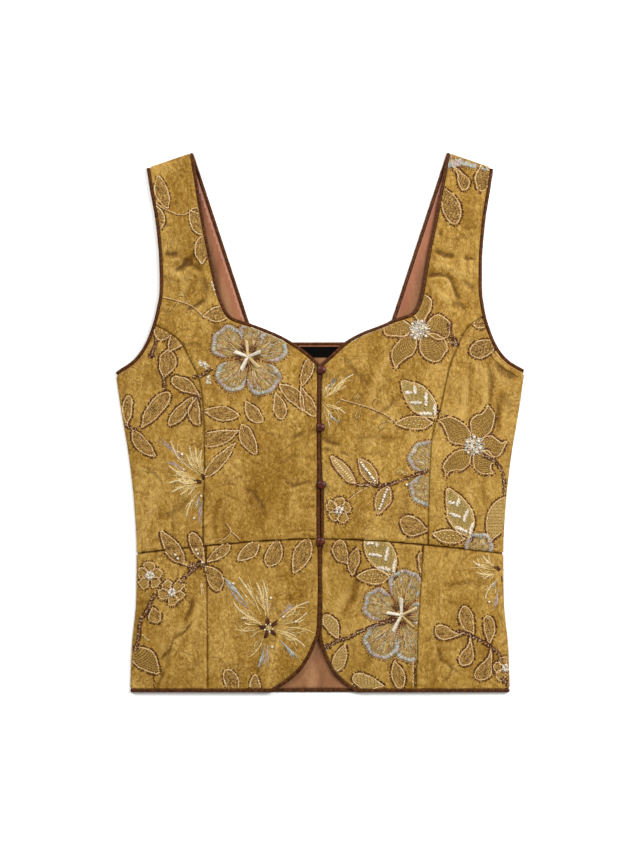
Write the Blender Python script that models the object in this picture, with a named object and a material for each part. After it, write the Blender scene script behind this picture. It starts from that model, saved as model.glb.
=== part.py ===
"""Embroidered waistcoat, buttoned and laid flat on its back.

The hem lies towards -Y, the straps towards +Y and the front faces up. The origin is on the
surface that the waistcoat rests on, under the middle of its outline. Left and right are as
seen from above. Table rows are in millimetres: heights run up the cloth from the hem's edge,
and distances across are taken from the middle of the waistcoat.
"""

import math

import bmesh
import bpy
import numpy as np

for old in list(bpy.data.objects):
    bpy.data.objects.remove(old)

MM = 0.001

# Overall sizes
LENGTH = 555.7
SEAM_GAP = 0.3

# Layers, from the resting surface up
BACK_WALL = 1.2
LINING_BASE = BACK_WALL + SEAM_GAP
LINING_WALL = 1.0
FRONT_BASE = LINING_BASE + LINING_WALL + 0.4
FRONT_WALL = 1.4

# Bias binding, folded over the raw edges
BINDING_WIDTH = 3.3
BINDING_HEIGHT = 1.8
BINDING_SIDES = 8
EDGE_INSET = BINDING_WIDTH + SEAM_GAP
BACK_BINDING_CENTRE = 1.25

# Seam and neck heights
WAIST_HEIGHT = 158.0
WAIST_DROP = 15.0
WAIST_HALF = 186.0
WAIST_POWER = 1.6
UNDERARM_HEIGHT = {"left": 326.0, "right": 329.0}
SHOULDER_INNER = 130.8
SHOULDER_OUTER = 178.7
SHOULDER_DROP = 16.5
SHOULDER_RUN = (SHOULDER_OUTER - SHOULDER_INNER, -SHOULDER_DROP)
UPRIGHT = (0.0, 1.0)
BACK_NECK_HEIGHT = 360.7
BACK_NECK_HALF = 66.5
BACK_NECK_RADIUS = 7.0

# Soft turn of the front down to the back at the side and shoulder folds
FOLD_REACH = 7.0
FOLD_SHOULDER = 2.4
FOLD_TOP = BACK_WALL + SEAM_GAP + FRONT_WALL
UNDERARM_FADE = 14.0
LINING_INSET = 8.0

# Rise of the front above its edges
FRONT_LOFT = 0.6
LOFT_POWER = 3
ARCH_RISE = 1.1
ARCH_REACH = 22.0
BUST_RISE = 1.1
BUST_ACROSS = 82.0
BUST_HEIGHT = 312.0
BUST_REACH_ACROSS = 48.0
BUST_REACH_UP = 62.0
LAP_REACH = 26.0

# Buttons and label
BUTTON_RADIUS = 4.9
BUTTON_STEPS = 14
LABEL_WIDTH = 42.0
LABEL_DEPTH = 11.2
LABEL_WALL = 0.8
LABEL_TOP = 356.2

# Buttons: across, height
BUTTONS = ((1.7, 332.0), (0.7, 272.7), (1.7, 213.9), (0.7, 155.5))

# Button profile as shares of its radius: out, up
BUTTON_PROFILE = (
    (0.0, 0.0), (0.82, 0.0), (1.0, 0.16), (0.96, 0.36), (0.72, 0.62), (0.38, 0.76), (0.0, 0.8),
)
BUTTON_REST = 13.0

# Outer edge of the armhole binding: height, distance across on the left and on the right
ARMHOLE = (
    (539.2, 178.7, 178.7), (515.5, 174.9, 175.1), (490.8, 170.4, 171.0), (466.1, 167.4, 168.4),
    (441.4, 165.6, 166.9), (416.6, 165.2, 166.9), (391.9, 169.0, 170.0), (367.2, 176.6, 177.6),
    (354.8, 182.6, 183.6), (342.5, 192.1, 193.8), (330.1, 210.1, 214.6),
)
ARMHOLE_COLUMN = {"left": 1, "right": 2}

# Side fold: height, distance across
SIDE = (
    (332.0, 210.0), (293.0, 204.5), (243.6, 196.2), (194.2, 190.6), (144.7, 188.0),
    (95.3, 188.5), (45.8, 193.1), (0.0, 194.7),
)

# Outer edge of the front neckline's binding, from the shoulder to the V: height, distance across
NECKLINE = {
    "left": (
        (555.7, 130.8), (486.7, 119.5), (460.4, 114.5), (434.1, 109.0), (407.9, 102.7),
        (399.4, 99.3), (392.2, 96.0), (386.3, 90.7), (383.7, 84.2), (379.8, 71.7),
        (375.1, 59.2), (368.6, 43.5), (361.0, 29.2), (351.0, 14.7), (345.0, 7.4),
        (340.7, 3.1), (336.5, -0.4),
    ),
    "right": (
        (555.7, 130.8), (486.7, 117.9), (460.4, 112.3), (434.1, 107.6), (407.9, 103.2),
        (398.0, 100.0), (391.4, 95.4), (388.2, 88.8), (384.4, 76.0), (378.4, 63.9),
        (374.9, 53.5), (369.2, 40.2), (361.0, 25.8), (348.7, 12.4), (341.0, 3.8),
        (336.0, -1.6),
    ),
}

# Centre front, from the V to the hem: height, how far the left edge and the right edge stand to
# the right of the middle, and how far the left edge is lifted to lap over the right one
CENTRE_EDGE = (
    (336.5, 0.4, -1.6, 2.1),
    (311.6, 0.4, -2.1, 2.1),
    (270.4, 0.2, -2.8, 2.1),
    (229.2, 0.4, -1.8, 2.1),
    (216.0, 0.1, -0.6, 2.1),
    (207.0, -0.2, 0.3, 2.1),
    (186.0, -0.2, 0.4, 0.8),
    (165.0, -0.2, 0.3, 2.1),
    (141.6, 1.2, -2.1, 2.1),
    (95.3, 1.2, -2.1, 2.1),
    (66.0, 0.0, -2.0, 2.1),
    (58.2, -1.0, -1.7, 2.1),
    (50.0, -4.6, -0.4, 1.9),
    (40.1, -8.6, 3.0, 1.4),
    (27.5, -15.9, 8.5, 0.9),
    (18.0, -24.0, 14.3, 0.5),
    (10.8, -32.7, 21.2, 0.2),
    (4.6, -42.2, 29.7, 0.0),
    (0.0, -49.4, 38.1, 0.0),
)

# Princess seams from the armhole to the waist: height, distance across
PRINCESS = {
    "left": (
        (377.0, 168.6), (369.7, 154.5), (358.1, 141.8), (344.5, 135.0), (319.8, 123.6),
        (294.1, 120.5), (262.1, 119.0), (233.3, 119.0), (175.6, 120.5), (140.0, 120.5),
    ),
    "right": (
        (386.0, 165.8), (375.4, 151.8), (364.0, 145.0), (352.8, 140.6), (338.4, 134.6),
        (322.9, 130.6), (291.0, 123.6), (263.2, 115.4), (233.3, 113.3), (198.3, 112.1),
        (140.0, 111.2),
    ),
}

# Peplum seams from the waist to the hem: height, distance across
PEPLUM_SEAM = {
    "left": ((160.0, 117.6), (91.0, 116.4), (0.0, 115.4)),
    "right": ((160.0, 106.6), (112.8, 104.0), (62.3, 100.9), (0.0, 98.9)),
}

# Heights of the cross rows: from, to, step
BODICE_ROWS = (
    (WAIST_HEIGHT, 326.0, 12.0), (326.0, 341.0, 3.0), (341.0, 377.0, 4.0),
    (377.0, 393.0, 2.0), (393.0, 408.0, 5.0), (408.0, 547.7, 11.0), (547.7, LENGTH, 4.0),
)
PEPLUM_ROWS = (
    (EDGE_INSET, 10.0, 2.2), (10.0, 28.0, 5.0), (28.0, 66.0, 8.0), (66.0, WAIST_HEIGHT, 16.0),
)
ROW_SLACK = 0.5
WAIST_FALL = 110.0
SHOULDER_FALL = 70.0
CENTRE_COLUMNS = 8
SIDE_COLUMNS = 6
PEPLUM_CENTRE_COLUMNS = 6
PEPLUM_SIDE_COLUMNS = 5
LAST_ROW_GAP = 2.0
BACK_STRAP_ROWS = 9
BACK_NECK_STEPS = 4
BACK_WAIST_STEPS = 8
BACK_SIDE_ROWS = 9
LINING_SIDE_ROWS = 14
SEAM_ALLOWANCE = 4.0
HEM_STEPS = 3
FINE_STEP = 1.0
NARROW_SHARE = 0.3
BUTTON_SHARP_ANGLE = 70.0
BINDING_SHARP_ANGLE = 60.0
CLOTH_SHARP_ANGLE = 40.0
MERGE_DISTANCE = 0.00001
BINDING_LIFT = 0.25

# Largest folds: across, height, angle from +X, length, reach to each side, rise
FOLDS = (
    (-131.0, 434.0, 35.0, 26.0, 5.0, -1.1),
    (-127.0, 430.0, -48.0, 24.0, 5.0, -0.9),
    (-129.0, 393.0, 20.0, 30.0, 6.0, -0.8),
    (130.0, 452.0, 5.0, 34.0, 5.0, -1.0),
    (130.0, 422.0, -42.0, 40.0, 6.0, -1.4),
    (148.0, 414.0, -15.0, 30.0, 6.0, 0.7),
    (168.0, 330.0, 84.0, 90.0, 8.0, -0.8),
    (181.0, 300.0, 80.0, 80.0, 8.0, 0.7),
    (22.0, 262.0, 38.0, 60.0, 8.0, -0.8),
    (-134.0, 58.0, 52.0, 62.0, 8.0, -1.0),
    (-150.0, 84.0, 62.0, 60.0, 9.0, 0.8),
    (-92.0, 212.0, 8.0, 80.0, 10.0, -0.7),
    (60.0, 98.0, 60.0, 60.0, 9.0, -0.7),
    (-66.0, 290.0, 66.0, 70.0, 10.0, 0.7),
)

COLOURS = {
    "gold_satin": ((0.376, 0.216, 0.040), 0.42),
    "brown_binding": ((0.108, 0.036, 0.017), 0.55),
    "rose_lining": ((0.392, 0.162, 0.089), 0.50),
    "label_cloth": ((0.008, 0.009, 0.010), 0.70),
    "covered_button": ((0.116, 0.040, 0.020), 0.50),
}


def along(rows, column):
    """A curve through one column of a table, as a function of height, that never overshoots."""
    rows = sorted(rows)
    at = np.array([row[0] for row in rows])
    value = np.array([row[column] for row in rows])
    run = np.diff(at)
    rise = np.diff(value) / run
    slope = np.zeros(len(at))
    slope[0], slope[-1] = rise[0], rise[-1]
    for i in range(1, len(rise)):
        if rise[i - 1] * rise[i] > 0.0:
            slope[i] = 2.0 / (1.0 / rise[i - 1] + 1.0 / rise[i])

    def curve(height):
        i = int(np.clip(np.searchsorted(at, height) - 1, 0, len(run) - 1))
        t = (height - at[i]) / run[i]
        if t < 0.0:
            return float(value[0] + slope[0] * (height - at[0]))
        if t > 1.0:
            return float(value[-1] + slope[-1] * (height - at[-1]))
        return float(
            value[i] * (2 * t**3 - 3 * t**2 + 1)
            + slope[i] * run[i] * (t**3 - 2 * t**2 + t)
            + value[i + 1] * (3 * t**2 - 2 * t**3)
            + slope[i + 1] * run[i] * (t**3 - t**2)
        )

    return curve


def smooth(t):
    """An even rise from 0 to 1."""
    t = min(max(t, 0.0), 1.0)
    return t * t * (3.0 - 2.0 * t)


def heights_of(stops):
    """The heights that a table of stretches asks for, each stretch in equal steps."""
    heights = [stops[0][0]]
    for low, high, step in stops:
        count = max(1, round((high - low) / step))
        heights += [low + (high - low) * k / count for k in range(1, count + 1)]
    return heights


def mitred(path, distance, first_cut=None, last_cut=None):
    """A plan path moved sideways to its left; an end may be cut along a given direction."""
    path = np.asarray(path, float)
    run = np.diff(path, axis=0)
    run /= np.linalg.norm(run, axis=1)[:, None]
    left = np.stack([-run[:, 1], run[:, 0]], axis=1)
    moved = []
    for i in range(len(path)):
        before, after = left[max(i - 1, 0)], left[min(i, len(left) - 1)]
        middle = before + after
        middle /= np.linalg.norm(middle)
        cut = first_cut if i == 0 else last_cut if i == len(path) - 1 else None
        if cut is not None:
            middle = np.asarray(cut, float) / np.linalg.norm(cut)
            middle *= np.sign(middle @ before) or 1.0
        moved.append(path[i] + middle * distance / (middle @ before))
    return np.array(moved)


def inner_edge(path, side):
    """Distance across of the raw edge inside a bound edge, as a function of height."""
    turn = 1.0 if side == "left" else -1.0
    moved = mitred(path, -turn * EDGE_INSET)
    order = np.argsort(moved[:, 1])
    return lambda height: float(np.interp(height, moved[order, 1], moved[order, 0]))


SIGN = {"left": -1.0, "right": 1.0}
EDGE_COLUMN = {"left": 1, "right": 2}

side_line = along(SIDE, 1)
lap_lift = along(CENTRE_EDGE, 3)


def bound_front(side):
    """The bound edge of one front in plan, from the shoulder round the V and down to the hem."""
    neck = along(NECKLINE[side], 1)
    edge = along(CENTRE_EDGE, EDGE_COLUMN[side])
    v_height = NECKLINE[side][-1][0]
    upper = np.arange(LENGTH, v_height, -FINE_STEP)
    lower = np.arange(v_height, -FINE_STEP / 2, -FINE_STEP)
    path = [(SIGN[side] * neck(h), h) for h in upper]
    return path + [(edge(h), h) for h in lower]


def bound_armhole(side):
    """The bound armhole edge in plan, from the underarm up to the shoulder."""
    armhole = along(ARMHOLE, ARMHOLE_COLUMN[side])
    heights = np.arange(ARMHOLE[-1][0] - 6.0, LENGTH, FINE_STEP)
    return [(SIGN[side] * armhole(h), h) for h in heights]


raw_front = {side: inner_edge(bound_front(side), side) for side in SIGN}
raw_armhole = {side: inner_edge(bound_armhole(side), side) for side in SIGN}
princess = {side: along(PRINCESS[side], 1) for side in SIGN}
peplum_seam = {side: along(PEPLUM_SEAM[side], 1) for side in SIGN}


def outer_edge(side, height):
    """Distance across of a bodice's outer raw edge: armhole above the underarm, fold below."""
    if height > UNDERARM_HEIGHT[side] - ROW_SLACK:
        return SIGN[side] * min(abs(raw_armhole[side](height)), side_line(height))
    return SIGN[side] * side_line(height)


def waist_sag(across):
    return -WAIST_DROP * (abs(across) / WAIST_HALF) ** WAIST_POWER


def shoulder_fall(across):
    return -SHOULDER_DROP * (abs(across) - SHOULDER_INNER) / (SHOULDER_OUTER - SHOULDER_INNER)


def bodice_shift(across, height):
    """How far a cross row moves so that it follows the waist seam and the shoulder fold."""
    low = 1.0 - min((height - WAIST_HEIGHT) / WAIST_FALL, 1.0)
    high = max(0.0, 1.0 - (LENGTH - height) / SHOULDER_FALL)
    return waist_sag(across) * low**2 + shoulder_fall(across) * high**2


def peplum_shift(across, height):
    return waist_sag(across) * (height - EDGE_INSET) / (WAIST_HEIGHT - EDGE_INSET)


def fold_rise(across, height):
    """Rise or dip of the cloth from all the large folds at one place."""
    total = 0.0
    for fold_x, fold_h, angle, length, reach, rise in FOLDS:
        turn = math.radians(angle)
        dx, dy = across - fold_x, height - fold_h
        run = dx * math.cos(turn) + dy * math.sin(turn)
        off = dy * math.cos(turn) - dx * math.sin(turn)
        total += rise * math.exp(-((off / reach) ** 2) - (2.0 * run / length) ** 4)
    return total


def from_bound_edge(side, across, height):
    """Distance from a place on a front to its nearest bound edge, level or straight down."""
    armhole = abs(outer_edge(side, height) - across)
    armhole += max(0.0, UNDERARM_HEIGHT[side] - height)
    return min(abs(across - raw_front[side](height)), height - EDGE_INSET, armhole)


def front_top(side, across, height):
    """Height above the resting surface of a front's outer face."""
    armpit = UNDERARM_HEIGHT[side]
    half = side_line(min(height, armpit))
    loft = FRONT_LOFT * (1.0 - min(abs(across) / half, 1.0) ** LOFT_POWER)
    loft += ARCH_RISE * smooth(from_bound_edge(side, across, height) / ARCH_REACH)
    bust = BUST_RISE * math.exp(
        -((abs(across) - BUST_ACROSS) / BUST_REACH_ACROSS) ** 2
        - ((height - BUST_HEIGHT) / BUST_REACH_UP) ** 2
    )
    if height < armpit:
        reach = (side_line(height) - abs(across)) / FOLD_REACH
        fold = (1.0 - smooth(reach)) * smooth((armpit - height) / UNDERARM_FADE)
    else:
        fold = 1.0 - smooth((LENGTH + shoulder_fall(across) - height) / FOLD_REACH)
    lowest = FRONT_BASE + FRONT_WALL
    top = max(lowest + loft + bust + fold_rise(across, height), lowest)
    top += (FOLD_TOP - top) * fold
    if side == "left":
        away = (raw_front["left"](height) - across) / LAP_REACH
        top += lap_lift(min(height, NECKLINE["left"][-1][0])) * (1.0 - smooth(away))
    return top


def grid(side, heights, inner, outer, shift, columns, folded=False):
    """Rows of points across a front panel, from its inner to its outer edge."""
    rows = []
    for nominal in heights:
        row = []
        for k in range(columns + 1):
            height = nominal
            for _ in range(3):
                start, end = inner(height), outer(height)
                span = abs(end - start)
                across = start + (end - start) * k / columns
                if folded:
                    turn = min(FOLD_REACH, NARROW_SHARE * span)
                    share = k / (columns - 2)
                    back = {columns: 0.0, columns - 1: turn * FOLD_SHOULDER / FOLD_REACH}
                    away = back.get(k, turn + (span - turn) * (1.0 - share))
                    across = end - SIGN[side] * away
                height = nominal + shift(across, nominal)
            row.append((across, height, front_top(side, across, height)))
        rows.append(row)
    return rows


def to_world(across, height, up):
    return (across * MM, (height - LENGTH / 2.0) * MM, up * MM)


def material(name):
    found = bpy.data.materials.get(name)
    if found:
        return found
    colour, roughness = COLOURS[name]
    made = bpy.data.materials.new(name)
    made.use_nodes = True
    shader = made.node_tree.nodes["Principled BSDF"]
    shader.inputs["Base Color"].default_value = (*colour, 1.0)
    shader.inputs["Roughness"].default_value = roughness
    shader.inputs["Metallic"].default_value = 0.0
    return made


def add_object(name, bm, material_name, sharp_angle=CLOTH_SHARP_ANGLE):
    bmesh.ops.recalc_face_normals(bm, faces=bm.faces)
    mesh = bpy.data.meshes.new(name)
    bm.to_mesh(mesh)
    bm.free()
    mesh.materials.append(material(material_name))
    mesh.shade_smooth()
    mesh.set_sharp_from_angle(angle=math.radians(sharp_angle))
    made = bpy.data.objects.new(name, mesh)
    bpy.context.scene.collection.objects.link(made)
    return made


def extrude_down(bm, wall):
    """Turns an open sheet into a closed wall below it."""
    lower = bmesh.ops.extrude_face_region(bm, geom=bm.faces[:])["geom"]
    corners = [item for item in lower if isinstance(item, bmesh.types.BMVert)]
    bmesh.ops.translate(bm, verts=corners, vec=(0.0, 0.0, -wall * MM))


def add_cloth(name, rows, wall):
    """A panel through its rows of points."""
    bm = bmesh.new()
    points = [[bm.verts.new(to_world(*place)) for place in row] for row in rows]
    for below, above in zip(points, points[1:]):
        for k in range(len(below) - 1):
            bm.faces.new((below[k], below[k + 1], above[k + 1], above[k]))
    extrude_down(bm, wall)
    return add_object(name, bm, "gold_satin")


def add_flat(name, outline, top, wall, material_name):
    """A flat panel from its outline in plan."""
    bm = bmesh.new()
    bm.faces.new([bm.verts.new(to_world(x, y, top)) for x, y in outline])
    extrude_down(bm, wall)
    return add_object(name, bm, material_name)


def add_binding(name, raw_edge, centre_up, outward, first_cut=None, last_cut=None):
    """A folded strip beside a raw edge; outward is +1 where it lies to the path's left."""
    plan = np.array([(p[0], p[1]) for p in raw_edge])
    near = mitred(plan, outward * SEAM_GAP, first_cut, last_cut)
    far = mitred(plan, outward * EDGE_INSET, first_cut, last_cut)
    bm = bmesh.new()
    rings = []
    for inner, outer, up in zip(near, far, centre_up):
        ring = []
        for k in range(BINDING_SIDES):
            turn = 2.0 * math.pi * (k + 0.5) / BINDING_SIDES
            corner = math.cos(math.pi / BINDING_SIDES)
            place = (inner + outer) / 2.0 + (outer - inner) / 2.0 * math.cos(turn) / corner
            rise = BINDING_HEIGHT / 2.0 * math.sin(turn) / corner
            ring.append(bm.verts.new(to_world(place[0], place[1], up + rise)))
        rings.append(ring)
    for before, after in zip(rings, rings[1:]):
        for k in range(BINDING_SIDES):
            step = (k + 1) % BINDING_SIDES
            bm.faces.new((before[k], before[step], after[step], after[k]))
    bm.faces.new(rings[0])
    bm.faces.new(rings[-1])
    return add_object(name, bm, "brown_binding", BINDING_SHARP_ANGLE)


def front_binding_up(points):
    """Middle height of a binding beside a front's raw edge, clear of the bindings below."""
    lowest = FRONT_BASE + BINDING_HEIGHT / 2.0
    return [max(up - FRONT_WALL / 2.0 + BINDING_LIFT, lowest) for _, _, up in points]


def add_front(side):
    """One front: its four panels, its long binding and its armhole binding."""
    sign = SIGN[side]
    half_gap = SEAM_GAP / 2.0
    tip = PRINCESS[side][0][0]
    rows = heights_of(BODICE_ROWS)
    rows[0] += half_gap
    side_rows = [h for h in rows if h <= tip]

    def centre_outer(height):
        if height > tip:
            return outer_edge(side, height)
        return sign * (princess[side](height) - half_gap)

    def side_inner(height):
        return sign * (princess[side](height) + half_gap)

    centre = grid(side, rows, raw_front[side], centre_outer, bodice_shift, CENTRE_COLUMNS)
    flank = grid(side, side_rows, side_inner, lambda h: outer_edge(side, h), bodice_shift,
                 SIDE_COLUMNS, True)

    rows = heights_of(PEPLUM_ROWS)
    rows[-1] -= half_gap
    skirt = grid(side, rows, raw_front[side],
                 lambda h: sign * (peplum_seam[side](h) - half_gap), peplum_shift,
                 PEPLUM_CENTRE_COLUMNS)
    skirt_flank = grid(side, rows, lambda h: sign * (peplum_seam[side](h) + half_gap),
                       lambda h: sign * side_line(h), peplum_shift, PEPLUM_SIDE_COLUMNS, True)

    add_cloth(f"front_centre_{side}", centre, FRONT_WALL)
    add_cloth(f"front_side_{side}", flank, FRONT_WALL)
    add_cloth(f"peplum_centre_{side}", skirt, FRONT_WALL)
    add_cloth(f"peplum_side_{side}", skirt_flank, FRONT_WALL)

    shoulder = (sign * SHOULDER_RUN[0], SHOULDER_RUN[1])
    front_edge = [row[0] for row in reversed(centre)] + [row[0] for row in reversed(skirt)]
    edge = front_edge + skirt[0][1:] + skirt_flank[0][1:]
    add_binding(f"binding_front_{side}", edge, front_binding_up(edge), -sign, shoulder)

    edge = [row[-1] for row in flank if row[-1][1] > UNDERARM_HEIGHT[side] - ROW_SLACK]
    edge += [row[-1] for row in centre if row[0][1] > tip + ROW_SLACK]
    add_binding(f"binding_armhole_front_{side}", edge, front_binding_up(edge), -sign, UPRIGHT,
                shoulder)
    return front_edge


def mirrored(half):
    """A closed outline from its right half, listed from the bottom centre to the top centre."""
    return half + [(-x, y) for x, y in reversed(half)]


def back_armhole(shoulder_inset):
    """Raw edge of a back armhole, from the underarm to the shoulder fold, as on the right."""
    top = LENGTH - SHOULDER_DROP - shoulder_inset
    for _ in range(3):
        across = -raw_armhole["left"](top)
        top = LENGTH + shoulder_fall(across) - shoulder_inset
    heights = [h for h in heights_of(BODICE_ROWS[1:]) if h < top - LAST_ROW_GAP]
    return [(min(-raw_armhole["left"](h), side_line(h)), h) for h in heights] + [(across, top)]


def back_neck_edge(shoulder_inset):
    """Raw edge of the right back strap and half the back neck, from the shoulder inwards."""
    slope = (SHOULDER_INNER - BACK_NECK_HALF) / (LENGTH - BACK_NECK_HEIGHT)
    lean = math.hypot(1.0, slope)

    def strap(height):
        return BACK_NECK_HALF + (height - BACK_NECK_HEIGHT) * slope + EDGE_INSET * lean

    top = LENGTH + shoulder_fall(strap(LENGTH)) - shoulder_inset
    base = BACK_NECK_HEIGHT - EDGE_INSET
    turn_height = base + BACK_NECK_RADIUS
    points = [(strap(h), h) for h in np.linspace(top, turn_height, BACK_STRAP_ROWS)]
    for k in range(1, BACK_NECK_STEPS + 1):
        turn = math.pi / 2.0 * k / BACK_NECK_STEPS
        across = strap(turn_height) - BACK_NECK_RADIUS * (1.0 - math.cos(turn))
        points.append((across, turn_height - BACK_NECK_RADIUS * math.sin(turn)))
    return points + [(points[-1][0] / 2.0, base)]


def back_waist(offset):
    """Waist seam of the back from the middle to the right side fold."""
    reach = side_line(WAIST_HEIGHT - WAIST_DROP)
    across = [reach * k / BACK_WAIST_STEPS for k in range(BACK_WAIST_STEPS + 1)]
    return [(x, WAIST_HEIGHT + waist_sag(x) + offset) for x in across]


def side_points(low, high, inset, count):
    return [(side_line(h) - inset, h) for h in np.linspace(low, high, count)]


def hem_points():
    """Raw edge of the back hem, from one side fold to the other."""
    reach = side_line(EDGE_INSET)
    return [(reach * k / HEM_STEPS, EDGE_INSET) for k in range(-HEM_STEPS, HEM_STEPS + 1)]


def add_back_panels(armhole, neck):
    """The back bodice, cut in one with the back straps, and the back peplum below it."""
    half_gap = SEAM_GAP / 2.0
    upper, lower = back_waist(half_gap), back_waist(-half_gap)

    half = upper[1:] + side_points(upper[-1][1], armhole[0][1], 0.0, BACK_SIDE_ROWS)[1:-1]
    outline = upper[:1] + mirrored(half + armhole + neck)
    add_flat("back_bodice", outline, BACK_WALL, BACK_WALL, "gold_satin")

    side = side_points(EDGE_INSET, lower[-1][1], 0.0, BACK_SIDE_ROWS)[1:-1]
    half = side + lower[:0:-1]
    outline = hem_points() + half + lower[:1] + [(-x, y) for x, y in reversed(half)]
    add_flat("back_peplum", outline, BACK_WALL, BACK_WALL, "gold_satin")


def add_lining():
    """One sheet of lining over the back, ending short of the side and shoulder folds."""
    armpit = UNDERARM_HEIGHT["left"]
    low = side_points(EDGE_INSET, armpit - SEAM_ALLOWANCE, LINING_INSET, LINING_SIDE_ROWS)
    high = [
        (min(x, side_line(y) - LINING_INSET), y)
        for x, y in back_armhole(LINING_INSET) if y > armpit + SEAM_ALLOWANCE
    ]
    half = [(low[0][0] / 2.0, EDGE_INSET)] + low + high + back_neck_edge(LINING_INSET)
    outline = [(0.0, EDGE_INSET)] + mirrored(half)
    add_flat("back_lining", outline, LINING_BASE + LINING_WALL, LINING_WALL, "rose_lining")


def add_back_bindings(armhole, neck):
    """Bindings round the back neck and straps, the back armholes and the back hem."""
    across, down = SHOULDER_RUN
    edge = [(-x, y) for x, y in neck] + neck[::-1]
    level = [BACK_BINDING_CENTRE] * len(edge)
    add_binding("binding_back_neck", edge, level, 1.0, (-across, down), (across, down))
    for side, sign in SIGN.items():
        edge = [(sign * x, y) for x, y in armhole]
        level = [BACK_BINDING_CENTRE] * len(edge)
        add_binding(f"binding_armhole_back_{side}", edge, level, -sign, UPRIGHT,
                    (sign * across, down))
    edge = hem_points()
    add_binding("binding_back_hem", edge, [BACK_BINDING_CENTRE] * len(edge), -1.0)


def add_label():
    """The neck label, sewn on the lining just below the back neck."""
    half = LABEL_WIDTH / 2.0
    low = LABEL_TOP - LABEL_DEPTH
    corners = [(-half, low), (half, low), (half, LABEL_TOP), (-half, LABEL_TOP)]
    top = LINING_BASE + LINING_WALL + SEAM_GAP + LABEL_WALL
    add_flat("neck_label", corners, top, LABEL_WALL, "label_cloth")


def add_buttons(left_edge):
    """Cloth-covered domes standing on the lapped front edges."""
    for number, (across, height) in enumerate(BUTTONS, 1):
        near = [point for point in left_edge if abs(point[1] - height) < BUTTON_REST]
        base = max(front_binding_up(near)) + BINDING_HEIGHT / 2.0 + SEAM_GAP
        bm = bmesh.new()
        size = BUTTON_RADIUS * MM
        profile = [bm.verts.new((out * size, 0.0, up * size)) for out, up in BUTTON_PROFILE]
        edges = [bm.edges.new(pair) for pair in zip(profile, profile[1:])]
        bmesh.ops.spin(bm, geom=profile + edges, cent=(0, 0, 0), axis=(0, 0, 1),
                       angle=2.0 * math.pi, steps=BUTTON_STEPS, use_merge=True)
        bmesh.ops.remove_doubles(bm, verts=bm.verts, dist=MERGE_DISTANCE)
        button = add_object(f"button_{number}", bm, "covered_button", BUTTON_SHARP_ANGLE)
        button.location = to_world(across, height, base)


back_armhole_edge = back_armhole(0.0)
back_neck = back_neck_edge(0.0)
add_back_panels(back_armhole_edge, back_neck)
add_lining()
add_label()
add_back_bindings(back_armhole_edge, back_neck)
left_front_edge = add_front("left")
add_front("right")
add_buttons(left_front_edge)
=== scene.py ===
import math
from types import SimpleNamespace
import bmesh
import bpy
import numpy as np
from mathutils.bvhtree import BVHTree
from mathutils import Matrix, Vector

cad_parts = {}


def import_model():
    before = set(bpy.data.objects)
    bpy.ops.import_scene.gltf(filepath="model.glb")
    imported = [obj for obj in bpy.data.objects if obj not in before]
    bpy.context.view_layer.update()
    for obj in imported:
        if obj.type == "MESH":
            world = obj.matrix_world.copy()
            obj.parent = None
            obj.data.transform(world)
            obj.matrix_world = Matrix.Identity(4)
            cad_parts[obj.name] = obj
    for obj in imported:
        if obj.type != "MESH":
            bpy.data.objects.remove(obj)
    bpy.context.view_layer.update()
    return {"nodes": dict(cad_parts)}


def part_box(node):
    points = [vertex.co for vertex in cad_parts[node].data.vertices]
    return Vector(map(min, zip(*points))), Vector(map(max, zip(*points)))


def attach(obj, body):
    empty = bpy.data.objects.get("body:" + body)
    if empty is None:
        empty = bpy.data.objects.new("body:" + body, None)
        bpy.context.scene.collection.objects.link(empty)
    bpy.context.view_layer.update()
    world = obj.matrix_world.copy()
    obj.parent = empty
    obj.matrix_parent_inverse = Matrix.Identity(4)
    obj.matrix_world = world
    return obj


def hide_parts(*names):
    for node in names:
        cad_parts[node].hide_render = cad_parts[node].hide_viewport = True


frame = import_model()
print("frame loaded")

# All plan places are millimetres: across from the middle, and height up from the hem's edge
mm = 0.001
hemY = 277.85
tau = 2.0 * math.pi
dice = np.random.default_rng(41)

bpy.context.scene.view_settings.view_transform = "Standard"
bpy.context.scene.view_settings.look = "None"


def smooth(t):
    t = np.clip(t, 0.0, 1.0)
    return t * t * (3.0 - 2.0 * t)


def bell(t):
    return np.exp(-t ** 2)


def blocks(rows, most):
    # long lists in shorter runs, to keep arrays and pieces small
    return [slice(start, start + most) for start in range(0, len(rows), most)]


def inside(points, outline):
    ax, ay = outline.T
    bx, by = np.roll(ax, -1), np.roll(ay, -1)
    level = np.where(by == ay, 1e-9, by - ay)
    found = np.zeros(len(points), bool)
    for block in blocks(points, 8000):
        x, y = points[block, 0:1], points[block, 1:2]
        crossed = ((ay > y) != (by > y)) & (x < ax + (y - ay) * (bx - ax) / level)
        found[block] = crossed.sum(1) % 2 == 1
    return found


def nearest(points, starts, ends):
    # nearest place on a set of segments: its distance, the segment's number and the share along it
    run = ends - starts
    size = np.maximum((run ** 2).sum(1), 1e-12)
    away, which, share = (np.zeros(len(points)) for _ in range(3))
    for block in blocks(points, 4000):
        offset = points[block, None, :] - starts
        t = np.clip((offset * run).sum(2) / size, 0.0, 1.0)
        gap = np.hypot(*np.moveaxis(offset - t[..., None] * run, 2, 0))
        best = gap.argmin(1)
        rows = np.arange(len(best))
        away[block], which[block], share[block] = gap[rows, best], best, t[rows, best]
    return away, which.astype(int), share


def segments(outlineList):
    # starts and ends of the sides of closed outlines
    return np.vstack(outlineList), np.vstack([np.roll(outline, -1, axis=0) for outline in outlineList])


def blend(level, i, j, s, t):
    # value of a grid between the four corners round a place
    low = level[j, i] * (1 - s) + level[j, i + 1] * s
    high = level[j + 1, i] * (1 - s) + level[j + 1, i + 1] * s
    return low * (1 - t) + high * t


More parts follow.
